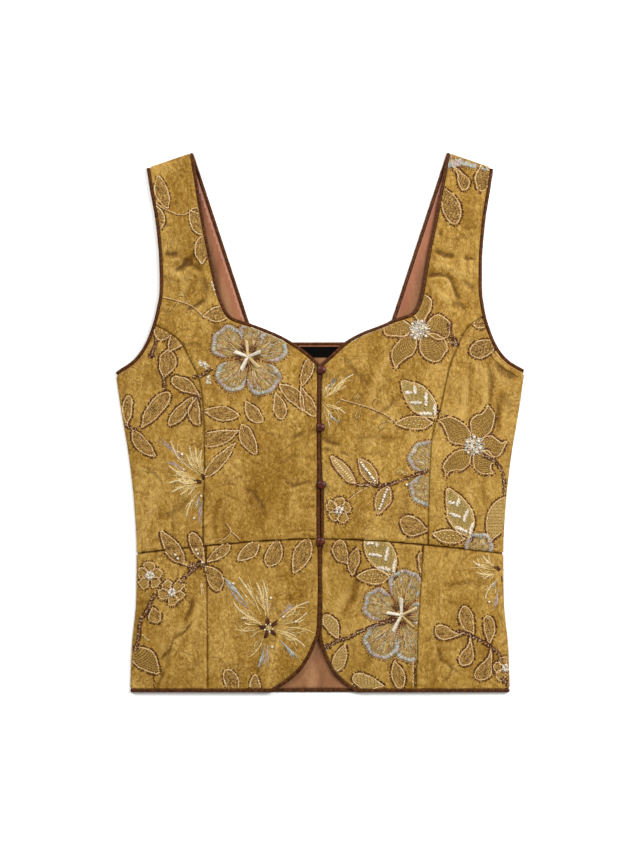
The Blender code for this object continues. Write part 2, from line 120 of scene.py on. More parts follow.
def softNoise(x, y, cellX, cellY, seed):
    # even, soft noise from -1 to 1 on a lattice of the given cell
    lattice = np.random.default_rng(seed).uniform(-1.0, 1.0, (int(760 / cellY) + 4, int(560 / cellX) + 4))
    u, v = (x + 270.0) / cellX, (y + 90.0) / cellY
    i, j = np.floor(u).astype(int), np.floor(v).astype(int)
    return blend(lattice, i, j, smooth(u - i), smooth(v - j))


def curveThrough(points, step, loop=False):
    # a smooth line through the points, cut to even steps; any number of columns
    points = np.asarray(points, float)
    if loop:
        points = np.vstack([points[-1], points, points[0], points[1]])
    else:
        points = np.vstack([2 * points[0] - points[1], points, 2 * points[-1] - points[-2]])
    line = []
    for a, b, c, d in zip(points, points[1:], points[2:], points[3:]):
        t = np.linspace(0.0, 1.0, 9)[:-1, None]
        curve = 2 * b + (c - a) * t + (2 * a - 5 * b + 4 * c - d) * t ** 2 + (3 * b - a - 3 * c + d) * t ** 3
        line.append(0.5 * curve)
    line = np.vstack(line + [points[-2:-1]])
    at = np.concatenate([[0.0], np.cumsum(np.hypot(*np.diff(line[:, :2], axis=0).T))])
    stops = np.linspace(0.0, at[-1], max(2, round(at[-1] / step) + 1))
    return np.stack([np.interp(stops, at, column) for column in line.T], axis=1)


def sideWay(way):
    # the direction to the left of a direction
    return np.array([-way[1], way[0]])


lampGain = 1.56


def linear(colour, gain=lampGain):
    # screen colours as they look under the lamps, which brighten a surface by the gain
    share = [c / 255.0 for c in colour]
    return [(c / 12.92 if c <= 0.04045 else ((c + 0.055) / 1.055) ** 2.4) / gain for c in share] + [1.0]


def plug(tree, socket, value):
    if isinstance(value, bpy.types.NodeSocket):
        tree.links.new(value, socket)
    else:
        socket.default_value = value


def node(tree, kind, inputs=None, **props):
    made = tree.nodes.new("ShaderNode" + kind)
    for name, value in props.items():
        setattr(made, name, value)
    for name, value in (inputs or {}).items():
        plug(tree, made.inputs[name], value)
    return made


def newMaterial(name, settings):
    # the settings with a capital are the shader's own
    made = bpy.data.materials.new(name)
    made.use_nodes = True
    shader = made.node_tree.nodes["Principled BSDF"]
    for socket, value in settings.items():
        if socket[0].isupper():
            shader.inputs[socket].default_value = value
    return made, made.node_tree, shader


def placed(tree, place, scale, turn):
    return node(tree, "Mapping", {"Vector": place, "Scale": scale, "Rotation": (0.0, 0.0, turn)}).outputs["Vector"]


def objectPlace(tree, scale=(1.0, 1.0, 1.0), turn=0.0):
    return placed(tree, node(tree, "TexCoord").outputs["Object"], scale, turn)


def uvPlace(tree, scale=(1.0, 1.0, 1.0), turn=0.0):
    return placed(tree, node(tree, "UVMap", uv_map="motif").outputs["UV"], scale, turn)


def shadeOf(tree):
    return node(tree, "Attribute", attribute_name="shade").outputs["Fac"]


def noiseAt(tree, place, scale, detail=2.0, rough=0.5, distortion=0.0, out="Fac"):
    return node(tree, "TexNoise", {"Vector": place, "Scale": scale, "Detail": detail, "Roughness": rough,
                                   "Distortion": distortion}).outputs[out]


def edgeGap(tree, place, scale):
    return node(tree, "TexVoronoi", {"Vector": place, "Scale": scale}, feature="DISTANCE_TO_EDGE").outputs["Distance"]


def weaveAt(tree, place, scale, distortion, way="X", **more):
    return node(tree, "TexWave", {"Vector": place, "Scale": scale, "Distortion": distortion, **more},
                bands_direction=way).outputs["Fac"]


def ramp(tree, value, stops, gain=lampGain):
    made = node(tree, "ValToRGB", {"Fac": value})
    for element, (place, colour) in zip(made.color_ramp.elements, (stops[0], stops[-1])):
        element.position, element.color = place, linear(colour, gain)
    for place, colour in stops[1:-1]:
        made.color_ramp.elements.new(place).color = linear(colour, gain)
    return made.outputs["Color"]


def mixColour(tree, share, first, second):
    made = node(tree, "Mix", {"Factor": share}, data_type="RGBA")
    for socket, value in zip(made.inputs[6:8], (first, second)):
        plug(tree, socket, linear(value) if isinstance(value, tuple) else value)
    return made.outputs[2]


def maths(tree, how, first, second=0.0, third=0.0):
    made = node(tree, "Math", operation=how)
    for socket, value in zip(made.inputs, (first, second, third)):
        plug(tree, socket, value)
    return made.outputs[0]


def scaled(tree, value, gain, shift):
    return maths(tree, "MULTIPLY_ADD", value, gain, shift)


def times(tree, first, second):
    return maths(tree, "MULTIPLY", first, second)


def limited(tree, value, high):
    return maths(tree, "MINIMUM", maths(tree, "MAXIMUM", value, 0.0), high)


def fading(tree, value, width):
    # one where the value is nothing, nothing from the given width on
    return maths(tree, "MAXIMUM", maths(tree, "SUBTRACT", 1.0, maths(tree, "DIVIDE", value, width)), 0.0)


def bump(tree, shader, height, strength, distance, under=None):
    made = node(tree, "Bump", {"Height": height, "Strength": strength, "Distance": distance})
    if under:
        tree.links.new(under, made.inputs["Normal"])
    tree.links.new(made.outputs["Normal"], shader.inputs["Normal"])
    return made.outputs["Normal"]


def newPiece(name, verts, faces, material, uv=None, shade=None):
    mesh = bpy.data.meshes.new(name)
    mesh.from_pydata([tuple(v) for v in verts], [], [tuple(f) for f in faces])
    if uv is not None:
        layer = mesh.uv_layers.new(name="motif")
        corners = np.zeros(len(mesh.loops), int)
        mesh.loops.foreach_get("vertex_index", corners)
        layer.data.foreach_set("uv", np.asarray(uv, np.float32)[corners].ravel())
    if shade is not None:
        layer = mesh.attributes.new("shade", "FLOAT", "POINT")
        layer.data.foreach_set("value", np.asarray(shade, np.float32))
    mesh.shade_smooth()
    mesh.materials.append(material)
    made = bpy.data.objects.new(name, mesh)
    bpy.context.scene.collection.objects.link(made)
    return made


def onlySelect(piece):
    bpy.ops.object.select_all(action="DESELECT")
    piece.select_set(True)
    bpy.context.view_layer.objects.active = piece


def applied(piece, kind, **settings):
    onlySelect(piece)
    modifier = piece.modifiers.new(kind.title(), kind)
    for name, value in settings.items():
        setattr(modifier, name, value)
    bpy.ops.object.modifier_apply(modifier=modifier.name)


def thicken(piece, wall, way=-1.0):
    applied(piece, "SOLIDIFY", thickness=wall * mm, offset=way)


def setPlace():
    bpy.ops.object.transform_apply(location=True, rotation=True, scale=True)


def selectFaces(mesh, chosen):
    bpy.ops.mesh.select_all(action="DESELECT")
    bm = bmesh.from_edit_mesh(mesh)
    for face in bm.faces:
        face.select = chosen(face)
    bmesh.update_edit_mesh(mesh)


def world(across, height, up):
    return np.stack([across * mm, (height - hemY) * mm, up * mm], axis=-1)


view = {"distance": 2.4, "tall": 0.8785, "middleY": -0.0041, "sensor": 24.0, "garmentUp": 0.005}
bpy.ops.object.camera_add(location=(0.0, view["middleY"], view["distance"]), rotation=(0.0, 0.0, 0.0))
camera = bpy.context.object
camera.name = "overheadCamera"
camera.data.sensor_fit = "VERTICAL"
camera.data.sensor_height = view["sensor"]
camera.data.lens = view["sensor"] * (view["distance"] - view["garmentUp"]) / view["tall"]
bpy.context.scene.camera = camera

# name, place, size, power, colour
lamps = (
    ("keyLamp", (-1.8, 1.9, 1.8), 1.1, 88.0, (1.0, 0.99, 0.97)),
    ("fillLamp", (1.1, 0.55, 1.25), 0.9, 40.0, (1.0, 0.995, 0.98)),
)
for name, place, size, power, colour in lamps:
    bpy.ops.object.light_add(type="AREA", location=place)
    lamp = bpy.context.object
    lamp.name = name
    lamp.data.size = size
    lamp.data.energy = power
    lamp.data.color = colour
    lamp.rotation_euler = (-lamp.location).to_track_quat("-Z", "Y").to_euler()

studioSettings = {"Color": (1.0, 1.0, 1.0, 1.0), "Strength": 0.42}
studio = bpy.data.worlds.new("studio")
bpy.context.scene.world = studio
studio.use_nodes = True
for name, value in studioSettings.items():
    studio.node_tree.nodes["Background"].inputs[name].default_value = value

floorSettings = {"size": 6.0, "dark": (247, 246, 244), "light": (250, 249, 247), "cloud": 3.0, "Roughness": 0.9}
bpy.ops.object.select_all(action="DESELECT")
bpy.ops.mesh.primitive_plane_add(size=floorSettings["size"], location=(0.0, 0.0, 0.0))
floor = bpy.context.object
floor.name = "paleFloor"
bpy.ops.object.mode_set(mode="EDIT")
bpy.ops.mesh.subdivide(number_cuts=6)
bpy.ops.object.mode_set(mode="OBJECT")
floorMaterial, tree, shader = newMaterial("paleFloor", floorSettings)
tree.links.new(ramp(tree, noiseAt(tree, objectPlace(tree), floorSettings["cloud"]),
                    [(0.3, floorSettings["dark"]), (0.7, floorSettings["light"])], 1.0), shader.inputs["Base Color"])
floor.data.materials.append(floorMaterial)
print("camera, lamps and floor set")


panelNodes = {
    "centreLeft": "front_centre_left", "sideLeft": "front_side_left",
    "skirtCentreLeft": "peplum_centre_left", "skirtSideLeft": "peplum_side_left",
    "centreRight": "front_centre_right", "sideRight": "front_side_right",
    "skirtCentreRight": "peplum_centre_right", "skirtSideRight": "peplum_side_right",
}
backNodes = {"back": "back_bodice", "skirtBack": "back_peplum", "lining": "back_lining"}
sides = ("Left", "Right")


def onSide(side):
    return [key for key in panelNodes if key.endswith(side)]


def mergedMesh(nodeName):
    bm = bmesh.new()
    bm.from_mesh(frame["nodes"][nodeName].data)
    bmesh.ops.remove_doubles(bm, verts=bm.verts, dist=0.00002)
    bm.normal_update()
    return bm


def solidTree(nodeNames):
    bm = bmesh.new()
    for name in nodeNames:
        bm.from_mesh(frame["nodes"][name].data)
    tree = BVHTree.FromBMesh(bm)
    bm.free()
    return tree


def planPlace(vert):
    return vert.co.x / mm, vert.co.y / mm + hemY, vert.co.z / mm


def crossProduct(first, second):
    return first[..., 0] * second[..., 1] - first[..., 1] * second[..., 0]


def turnedLeft(outline):
    # the outline in the order that keeps its inside on the left
    return outline if crossProduct(outline, np.roll(outline, -1, axis=0)).sum() > 0 else outline[::-1]


def topOutline(nodeName):
    # the edge of a panel's upper face, as an ordered loop: across, height, up
    bm = mergedMesh(nodeName)
    top = {f for f in bm.faces if f.normal.z > 0.3}
    links = {}
    for edge in bm.edges:
        if sum(f in top for f in edge.link_faces) == 1:
            a, b = edge.verts
            links.setdefault(a, []).append(b)
            links.setdefault(b, []).append(a)
    start = min(links, key=lambda v: (v.co.y, v.co.x))
    loop, last, here = [start], None, start
    while True:
        step = next((v for v in links[here] if v is not last), None)
        if step is None or step is start:
            break
        last, here = here, step
        loop.append(here)
    outline = np.array([planPlace(v) for v in loop])
    bm.free()
    return turnedLeft(outline)


outlines = {key: topOutline(name) for key, name in {**panelNodes, **backNodes}.items()}
flatOutlines = {key: outline[:, :2] for key, outline in outlines.items()}

# The form's grid, and how far its facets are softened inside, towards the edge and past it
formCell = 2.0
formX = np.arange(-216.0, 217.0, formCell)
formH = np.arange(-4.0, 562.0, formCell)
formSoft = {"close": 1.6, "wide": 5.0, "far": 9.0, "bare": 3.0}


def formMap(side):
    # height of the solids' upper face on a grid, with the solids' facets softened
    tree = solidTree([panelNodes[key] for key in onSide(side)])
    raw = np.zeros((len(formH), len(formX)))
    known = np.zeros_like(raw)
    for j, height in enumerate(formH):
        for i, across in enumerate(formX):
            hit = tree.ray_cast((across * mm, (height - hemY) * mm, 0.1), (0.0, 0.0, -1.0))[0]
            if hit is not None:
                raw[j, i], known[j, i] = hit.z / mm, 1.0

    def spread(reach):
        steps = np.arange(-12, 13)
        weight = np.exp(-0.5 * (steps * formCell / reach) ** 2)
        total, count = raw * known, known
        for axis in (0, 1):
            total = sum(w * np.roll(total, s, axis) for s, w in zip(steps, weight))
            count = sum(w * np.roll(count, s, axis) for s, w in zip(steps, weight))
        return total / np.maximum(count, 1e-9), count / weight.sum() ** 2

    (close, _), (wide, share), (far, farShare) = (spread(formSoft[name]) for name in ("close", "wide", "far"))
    level = close + (wide - close) * smooth((share - 0.7) / 0.28)
    past = np.where(farShare > 1e-6, np.where(share > 1e-6, close, far), formSoft["bare"])
    return np.where(known == 0, past, level)


def mapLevel(level, x, h, lineX=formX, lineH=formH):
    u = np.clip((x - lineX[0]) / (lineX[1] - lineX[0]), 0, len(lineX) - 1.001)
    v = np.clip((h - lineH[0]) / (lineH[1] - lineH[0]), 0, len(lineH) - 1.001)
    i, j = u.astype(int), v.astype(int)
    return blend(level, i, j, u - i, v - j)


forms = {side: formMap(side) for side in sides}
print("cloth form read")

# Creases pressed into the fronts: across, height, angle from level, length, reach, rise
creases = (
    (-153, 452, 12, 13, 2.6, -0.55), (-139.5, 443, 40, 25, 2.3, -0.6), (-130.5, 440.5, -44, 21, 2.3, -0.5),
    (-158, 481, 4, 9, 2, -0.3), (-149, 432, -20, 24, 4, 0.4), (-128, 400, 24, 22, 3.2, -0.55),
    (-140, 418, 70, 30, 4, 0.35), (-118, 420, -62, 18, 3, -0.35), (128.5, 452.5, -13, 19, 1.8, -0.9),
    (153.5, 447.5, -20, 13, 1.7, -0.55), (122, 429.5, -8, 18, 2.1, -0.95), (136.5, 421, -55, 15, 2.2, -1),
    (141.5, 411.5, -66, 13, 2.2, -0.7), (153.5, 420.5, -48, 14, 2.2, -0.5), (143, 399, -22, 17, 3, -0.35),
    (124.8, 473, -58, 6, 1.8, -0.45), (154, 480, -8, 17, 2, -0.22), (147, 441, 84, 20, 3.4, 0.45),
    (132, 437, -18, 26, 4.2, 0.45), (126, 411, -34, 24, 4, 0.35), (191, 331.5, -44, 22, 3.2, -0.75),
    (184, 345, -58, 30, 2.8, 0.35), (176, 318, -80, 40, 4, -0.45), (166, 304, 84, 56, 4.4, 0.4),
    (154, 318, 78, 46, 3.6, -0.32), (186, 290, 82, 44, 4.2, -0.4), (146, 296, 88, 52, 4, 0.3),
    (12, 258.5, -22, 18, 1.7, -0.5), (25, 246.5, -34, 12, 1.7, -0.42), (8.5, 250, 42, 8, 1.4, -0.3),
    (15, 252.5, -24, 20, 3, 0.25), (-31, 216, -32, 14, 1.6, -0.34), (-18, 214.5, 8, 22, 1.6, -0.4),
    (-22, 242.5, 1, 34, 1.4, -0.2), (-23, 266, 26, 18, 1.6, -0.34), (-10, 191, 0, 12, 1.3, -0.24),
    (-18, 165.5, 2, 24, 1.5, -0.28), (-93, 202, -10, 20, 1.6, -0.28), (-72, 209, -10, 16, 1.5, -0.28),
    (-62, 197, -66, 20, 1.8, -0.34), (-170, 223, -38, 24, 1.8, -0.34), (-186, 232, -20, 18, 2.4, 0.24),
    (-140, 64, 38, 20, 1.9, -0.6), (-151.5, 52, 62, 15, 1.9, -0.62), (-158.5, 40, 58, 16, 2.2, -0.48),
    (-136, 84, 74, 26, 2.2, -0.48), (-148, 60, 52, 36, 3.6, 0.34), (-128, 74, 76, 30, 3.2, 0.26),
    (-163, 16, 76, 24, 2.2, -0.34), (-176, 96, 20, 22, 3, -0.3), (122.5, 42, -80, 20, 1.8, -0.38),
    (129, 31, -30, 12, 1.7, -0.34), (138, 25, -28, 14, 1.7, -0.34), (131.5, 18, 56, 16, 1.8, -0.34),
    (117, 62, 84, 40, 3, 0.22), (150, 112, 12, 40, 4.5, -0.28), (60, 140, 70, 30, 3, -0.24),
    (34, 104, 62, 36, 3.4, -0.34), (22, 92, 56, 30, 3.2, 0.28), (48, 30, 70, 26, 2.6, -0.24),
    (-64, 30, 84, 34, 3.2, -0.2), (-40, 60, 60, 40, 4, 0.2), (-106, 180, 86, 40, 3.4, -0.24),
    (-180, 180, 80, 60, 5, 0.28), (-150, 190, 30, 34, 3, -0.26), (-60, 320, 60, 60, 4, -0.22),
    (60, 320, 74, 60, 4.4, 0.24), (40, 330, -40, 40, 3.4, -0.28), (70, 296, 30, 40, 3.6, -0.24),
    (96, 262, 84, 36, 3.4, 0.24), (60, 262, 8, 40, 2, -0.26), (84, 186, 84, 40, 3.4, -0.22),
    (150, 186, 76, 50, 4.2, 0.22), (172, 224, 80, 50, 4, -0.26),
)
# Crinkle of the crushed satin: cell across, cell up, rise, seed
crinkles = ((34.0, 60.0, 0.34, 3), (11.0, 26.0, 0.26, 5), (5.6, 12.0, 0.17, 8), (3.4, 6.2, 0.08, 11))


def creaseRise(x, h, table, marked=False):
    # each crease is bent a little by its own slow wave, so none is a straight line;
    # marked gives its painted tone instead: painted shade under one lip, painted highlight on the other
    total = np.zeros_like(x)
    for number, (midX, midH, angle, length, reach, rise) in enumerate(table):
        turn = math.radians(angle)
        dx, dh = x - midX, h - midH
        near = (np.abs(dx) < length + 12) & (np.abs(dh) < length + 12)
        dx, dh = dx[near], dh[near]
        run = dx * math.cos(turn) + dh * math.sin(turn)
        off = dh * math.cos(turn) - dx * math.sin(turn)
        off = off + 0.07 * length * np.sin(run * 3.4 / length + number * 1.7)
        width = reach * (1.0 + 0.35 * np.sin(run * 2.1 / length + number))
        share = off / width
        form = bell(share)
        if marked:
            form = bell(share / np.where(share > 0.0, 0.65, 1.3)) - 0.42 * bell((share + 2.1) / 0.7)
        total[near] += rise * form * np.exp(-(1.9 * run / length) ** 4)
    return total


def crinkleRise(x, h):
    bendX = x + 7.0 * softNoise(x, h, 30.0, 40.0, 21)
    bendH = h + 9.0 * softNoise(x, h, 34.0, 30.0, 22)
    total = np.zeros_like(x)
    for cellX, cellY, rise, seed in crinkles:
        wave = softNoise(bendX, bendH, cellX, cellY, seed)
        total += rise * (0.45 * wave + 0.55 * (1.0 - 2.0 * np.abs(wave)))
    return total


def denseOutline(outline):
    # the outline with a point every millimetre or so
    dense = []
    for a, b in zip(outline, np.roll(outline, -1, axis=0)):
        count = max(1, int(np.hypot(*(b - a)[:2])))
        dense += [a + (b - a) * k / count for k in range(count)]
    return np.array(dense)


# Widest gaps, in millimetres, at which an edge still counts as sewn to its neighbour or as bound
edgeReach = {"sewn": 0.7, "bound": 1.4, "below": 0.5}
allBindings = solidTree([name for name in frame["nodes"] if name.startswith("binding")])


def edgeKinds(key):
    # one kind for each point of a panel's dense outline: sewn, bound or fold
    dense = denseOutline(outlines[key])
    away = nearest(dense[:, :2], *segments([flatOutlines[k] for k in panelNodes if k != key]))[0]
    found = []
    for place, isSewn in zip(dense, away < edgeReach["sewn"]):
        spot = (place[0] * mm, (place[1] - hemY) * mm, (place[2] - edgeReach["below"]) * mm)
        isBound = allBindings.find_nearest(spot, edgeReach["bound"] * mm)[0] is not None
        found.append("bound" if isBound else "sewn" if isSewn else "fold")
    return dense[:, :2], np.array(found)


kinds = {key: edgeKinds(key) for key in panelNodes}
seamCell = 0.75
seamX = np.arange(-214.0, 215.0, seamCell)
seamH = np.arange(-2.0, 560.0, seamCell)
seamDip = {"depth": 0.75, "reach": 1.5, "puff": 0.16, "puffAt": 4.0, "puffReach": 2.2, "pucker": 0.3,
           "stamp": 11.0, "none": 12.0}


def seamMap(side):
    # distance to the nearest seam, stamped round every point of the seams
    away = np.full((len(seamH), len(seamX)), seamDip["none"])
    reach = int(seamDip["stamp"] / seamCell)
    for x, h in np.vstack([kinds[key][0][kinds[key][1] == "sewn"] for key in onSide(side)]):
        i, j = int((x - seamX[0]) / seamCell), int((h - seamH[0]) / seamCell)
        rows, columns = slice(max(j - reach, 0), j + reach), slice(max(i - reach, 0), i + reach)
        gap = np.hypot(seamX[columns][None, :] - x, seamH[rows][:, None] - h)
        away[rows, columns] = np.minimum(away[rows, columns], gap)
    return away


seamMaps = {side: seamMap(side) for side in sides}

thinnest = 3.35
creaseGain = 2.0
# How far a crease, a crinkle and a seam darken or lighten the satin, from the middle tone of 0.5: painted shade and
# painted highlight along the creases and on the crinkle, and darker along the seams
toneShare = {"crease": 0.8, "lightest": -0.34, "darkest": 0.5, "crinkle": 0.16, "seam": 0.26, "seamReach": 0.7,
             "waist": 1.5, "waistAt": 151.0, "waistReach": 13.0}
# Broad painted light and painted shade on the satin: middle, reach both ways, amount
paintedLightAndShade = ((170.0, 260.0, 60.0, 110.0, 0.08), (45.0, 250.0, 38.0, 90.0, -0.06), (60.0, 75.0, 50.0, 65.0, 0.06),
         (-145.0, 460.0, 40.0, 70.0, -0.07), (100.0, 360.0, 45.0, 45.0, -0.04), (-70.0, 230.0, 60.0, 80.0, -0.02))


def clothToneAndShading(side, x, h, table):
    # the satin's tone: painted shade and painted highlight along the creases and on the crinkle, darker along the
    # seams, and broad painted light and shade
    deep = np.clip(toneShare["crease"] * creaseRise(x, h, table, True), toneShare["lightest"], toneShare["darkest"])
    tone = 0.5 + deep + toneShare["crinkle"] * crinkleRise(x, h)
    if side:
        atWaist = toneShare["waist"] * bell((h - toneShare["waistAt"]) / toneShare["waistReach"])
        strength = toneShare["seam"] * (1.0 + atWaist)
        tone -= strength * bell(mapLevel(seamMaps[side], x, h, seamX, seamH) / toneShare["seamReach"])
        for middleX, middleH, wide, high, amount in paintedLightAndShade:
            tone += amount * np.exp(-((x - middleX) / wide) ** 2 - ((h - middleH) / high) ** 2)
    return np.clip(tone, 0.0, 1.0)


def clothTop(side, x, h):
    # height of a front's face with its creases, crinkle and seams
    level = mapLevel(forms[side], x, h) + creaseGain * creaseRise(x, h, creases) + crinkleRise(x, h)
    away = mapLevel(seamMaps[side], x, h, seamX, seamH)
    pucker = 1.0 + seamDip["pucker"] * softNoise(x, h, 4.0, 4.0, 31)
    level -= seamDip["depth"] * bell(away / seamDip["reach"]) * pucker
    level += seamDip["puff"] * bell((away - seamDip["puffAt"]) / seamDip["puffReach"]) * pucker
    return thinnest + np.logaddexp(0.0, (level - thinnest) * 6.0) / 6.0


def panelsOf(panel):
    return onSide(panel[3:]) if panel.startswith("any") else [panel]


def isOn(panel, points):
    return np.any([inside(points, flatOutlines[key]) for key in panelsOf(panel)], axis=0)


def cellGrid(outline, pitch, panel=None):
    # square cells that fill an outline: their corners, the faces, and which corners are on the rim
    low = outline.min(0) - pitch
    count = np.ceil((outline.max(0) + pitch - low) / pitch).astype(int)

    def lattice(more, shift):
        lines = [low[k] + pitch * (np.arange(count[k] + more) + shift) for k in (0, 1)]
        return np.stack(np.meshgrid(*lines), axis=-1)

    middles = lattice(0, 0.5).reshape(-1, 2)
    kept = inside(middles, outline)
    if panel:
        kept &= isOn(panel, middles)
    kept = kept.reshape(count[::-1])
    padded = np.pad(kept, 1)
    around = sum(padded[j:j + count[1] + 1, i:i + count[0] + 1].astype(int) for i in (0, 1) for j in (0, 1))
    used = around > 0
    number = np.cumsum(used.ravel()).reshape(used.shape) - 1
    j, i = np.nonzero(kept)
    faces = np.stack([number[j, i], number[j, i + 1], number[j + 1, i + 1], number[j + 1, i]], axis=1)
    return lattice(1, 0.0)[used], faces, (around < 4)[used]


def snap(points, chosen, starts, ends):
    # draws the chosen points onto the nearest of the segments
    _, which, share = nearest(points[chosen], starts, ends)
    points[chosen] = starts[which] + (ends - starts)[which] * share[:, None]


def clothGrid(key, pitch):
    # cells that fill a panel, with their outer corners drawn onto its outline
    flat = flatOutlines[key]
    points, faces, onRim = cellGrid(flat, pitch)
    snap(points, onRim, *segments([flat]))
    before, after = flat - np.roll(flat, 1, axis=0), np.roll(flat, -1, axis=0) - flat
    bend = np.abs(np.arctan2(crossProduct(before, after), (before * after).sum(1)))
    rimIndex = np.flatnonzero(onRim)
    for corner in flat[bend > math.radians(28.0)]:
        gap = np.hypot(*(points[rimIndex] - corner).T)
        points[rimIndex[gap.argmin()]] = corner
    return points, faces, onRim


def rimKinds(key, points):
    dense, kind = kinds[key]
    return kind[nearest(points, dense, dense + 1e-6)[1]]


# How a folded edge is carried round and down to the layer below: out, up
foldDrops = ((0.45, 2.5), (0.55, 1.5), (0.25, 0.6))
shoulderFold = 0.22                                              # above this, in metres, the fold turns upwards


def foldDown(mesh, isFold):
    bm = bmesh.new()
    bm.from_mesh(mesh)
    rim = [e for e in bm.edges if e.is_boundary and all(isFold[v.index] for v in e.verts)]
    for out, up in foldDrops:
        made = bmesh.ops.extrude_edge_only(bm, edges=rim)["geom"]
        rim = [g for g in made if isinstance(g, bmesh.types.BMEdge)]
        for vert in {v for e in rim for v in e.verts}:
            if vert.co.y > shoulderFold:
                vert.co.y += out * mm
            else:
                vert.co.x += math.copysign(out * mm, vert.co.x)
            vert.co.z = up * mm + 0.12 * mm * math.sin(vert.co.y * 900.0) * (up > 1.0)
    bm.normal_update()
    if sum(f.normal.z * f.calc_area() for f in bm.faces) < 0.0:
        bmesh.ops.reverse_faces(bm, faces=bm.faces)
    bm.to_mesh(mesh)
    bm.free()
    mesh.shade_smooth()


# Satin of the fronts: valley is painted shade in the crease valleys, light is also the painted highlight on their other
# lip, vein the painted shade of hairline wrinkles, deep the darkest tone along the seams
satinSettings = {
    "dark": (112, 72, 7), "low": (143, 101, 26), "middle": (171, 129, 56), "light": (216, 178, 100),
    "warm": (173, 135, 46), "vein": (88, 52, 4), "valley": (82, 46, 0), "deep": (58, 30, 6),
    "Roughness": 0.42, "Specular IOR Level": 0.09,
}
# Veins: hairline wrinkles of the crushed satin, drawn as thin lines of painted shade: kind, scale across, scale up,
# fineness, share, where they show (higher is rarer)
satinVeins = (
    ("cells", 34.0, 30.0, 0.018, 0.65, 0.50), ("cells", 92.0, 64.0, 0.036, 0.55, 0.50),
    ("ridge", 9.0, 88.0, 0.014, 0.90, 0.48), ("ridge", 96.0, 14.0, 0.018, 0.85, 0.48),
    ("ridge", 16.0, 70.0, 0.011, 0.90, 0.47), ("ridge", 60.0, 52.0, 0.010, 0.80, 0.48),
    ("ridge", 190.0, 130.0, 0.020, 0.60, 0.46),
)
# Tones from the cloth's shade attribute: painted shade in the crease valleys, painted highlight on their lips, and the
# darkest tone along the seams: gain, shift, most of the colour, and the colour that shows
paintedFoldShading = ((-2.4, 1.2, 0.8, "valley"), (2.0, -1.0, 0.5, "light"), (-6.0, 0.9, 0.8, "deep"))


def veinLines(tree, place, bent, number, vein):
    # one net of thin lines of painted wrinkle shade, broken up by a slow noise
    kind, scaleX, scaleY, fine, share, floorAt = vein
    spot = node(tree, "Mapping", {"Vector": bent, "Scale": (scaleX, scaleY, 1.0),
                                  "Location": (number * 3.1, number * 1.7, 0.0)}).outputs[0]
    if kind == "cells":
        gap = edgeGap(tree, spot, 1.0)
    else:
        gap = maths(tree, "ABSOLUTE", maths(tree, "SUBTRACT", noiseAt(tree, spot, 1.0, 1.0, 0.4), 0.5))
    away = node(tree, "Mapping", {"Vector": place, "Location": (number * 0.37, -number * 0.23, 0.0)}).outputs[0]
    gate = times(tree, maths(tree, "SUBTRACT", noiseAt(tree, away, 42.0, 2.0), floorAt), 9.0)
    gate = limited(tree, gate, share)
    return [times(tree, fading(tree, gap, width), gate) for width in (fine, fine * 4.5)]


def vectors(tree, how, first, second):
    return node(tree, "VectorMath", {0: first, 1: second}, operation=how).outputs[0]


def satinMaterial(name, settings):
    made, tree, shader = newMaterial(name, settings)
    place = objectPlace(tree, (1.0, 0.72, 1.0))
    drawn = vectors(tree, "MULTIPLY", place, (1.0, 0.62, 1.0))
    clouds = noiseAt(tree, drawn, 26.0, 3.0, 0.55, 0.5)
    mottle = noiseAt(tree, drawn, 92.0, 4.0, 0.62, 1.2)
    crush = noiseAt(tree, place, 330.0, 4.0, 0.68, 0.8)
    fibre = noiseAt(tree, objectPlace(tree, (1300.0, 420.0, 1.0)), 1.0, 3.0, 0.6)
    total = 0.055
    for layer, weight in ((fibre, 0.20), (crush, 0.33), (mottle, 0.17), (clouds, 0.19)):
        total = scaled(tree, layer, weight, total)
    stops = zip((0.405, 0.455, 0.503, 0.58), ("dark", "low", "middle", "light"))
    colour = ramp(tree, total, [(at, settings[tone]) for at, tone in stops])
    warmth = times(tree, noiseAt(tree, place, 14.0, 2.0, 0.5), 0.35)
    colour = mixColour(tree, warmth, colour, settings["warm"])
    bends = vectors(tree, "SUBTRACT", noiseAt(tree, place, 30.0, 3.0, 0.6, out="Color"), (0.5, 0.5, 0.5))
    bent = vectors(tree, "ADD", place, vectors(tree, "MULTIPLY", bends, (0.034, 0.034, 0.0)))
    # the shade attribute carries the painted crease shade and highlight, and the seam darkening
    fold = shadeOf(tree)
    for gain, start, most, tone in paintedFoldShading:
        colour = mixColour(tree, limited(tree, scaled(tree, fold, gain, start), most), colour, settings[tone])
    veins = troughs = 0.0
    for number, vein in enumerate(satinVeins):
        line, trough = veinLines(tree, place, bent, number, vein)
        veins, troughs = maths(tree, "MAXIMUM", line, veins), maths(tree, "MAXIMUM", trough, troughs)
    # thin lines of painted shade in the hairline wrinkles
    colour = mixColour(tree, times(tree, veins, 0.58), colour, settings["vein"])
    tree.links.new(colour, shader.inputs["Base Color"])
    tree.links.new(scaled(tree, mottle, -0.25, settings["Roughness"] + 0.12), shader.inputs["Roughness"])
    weave = weaveAt(tree, objectPlace(tree, turn=0.02), 620.0, 2.0, "Y", Detail=2.0, **{"Detail Scale": 1.5})
    grain = scaled(tree, fibre, 0.6, times(tree, weave, 0.4))
    furrows = scaled(tree, troughs, -0.7, times(tree, veins, -0.3))
    under = None
    for height, strength, deep in ((grain, 0.25, 0.00025), (mottle, 0.6, 0.0026), (crush, 0.7, 0.0008),
                                   (furrows, 0.55, 0.0008)):
        under = bump(tree, shader, height, strength, deep, under)
    return made


satin = satinMaterial("crushedGoldSatin", satinSettings)


def clothName(key):
    return "cloth" + key[0].upper() + key[1:]


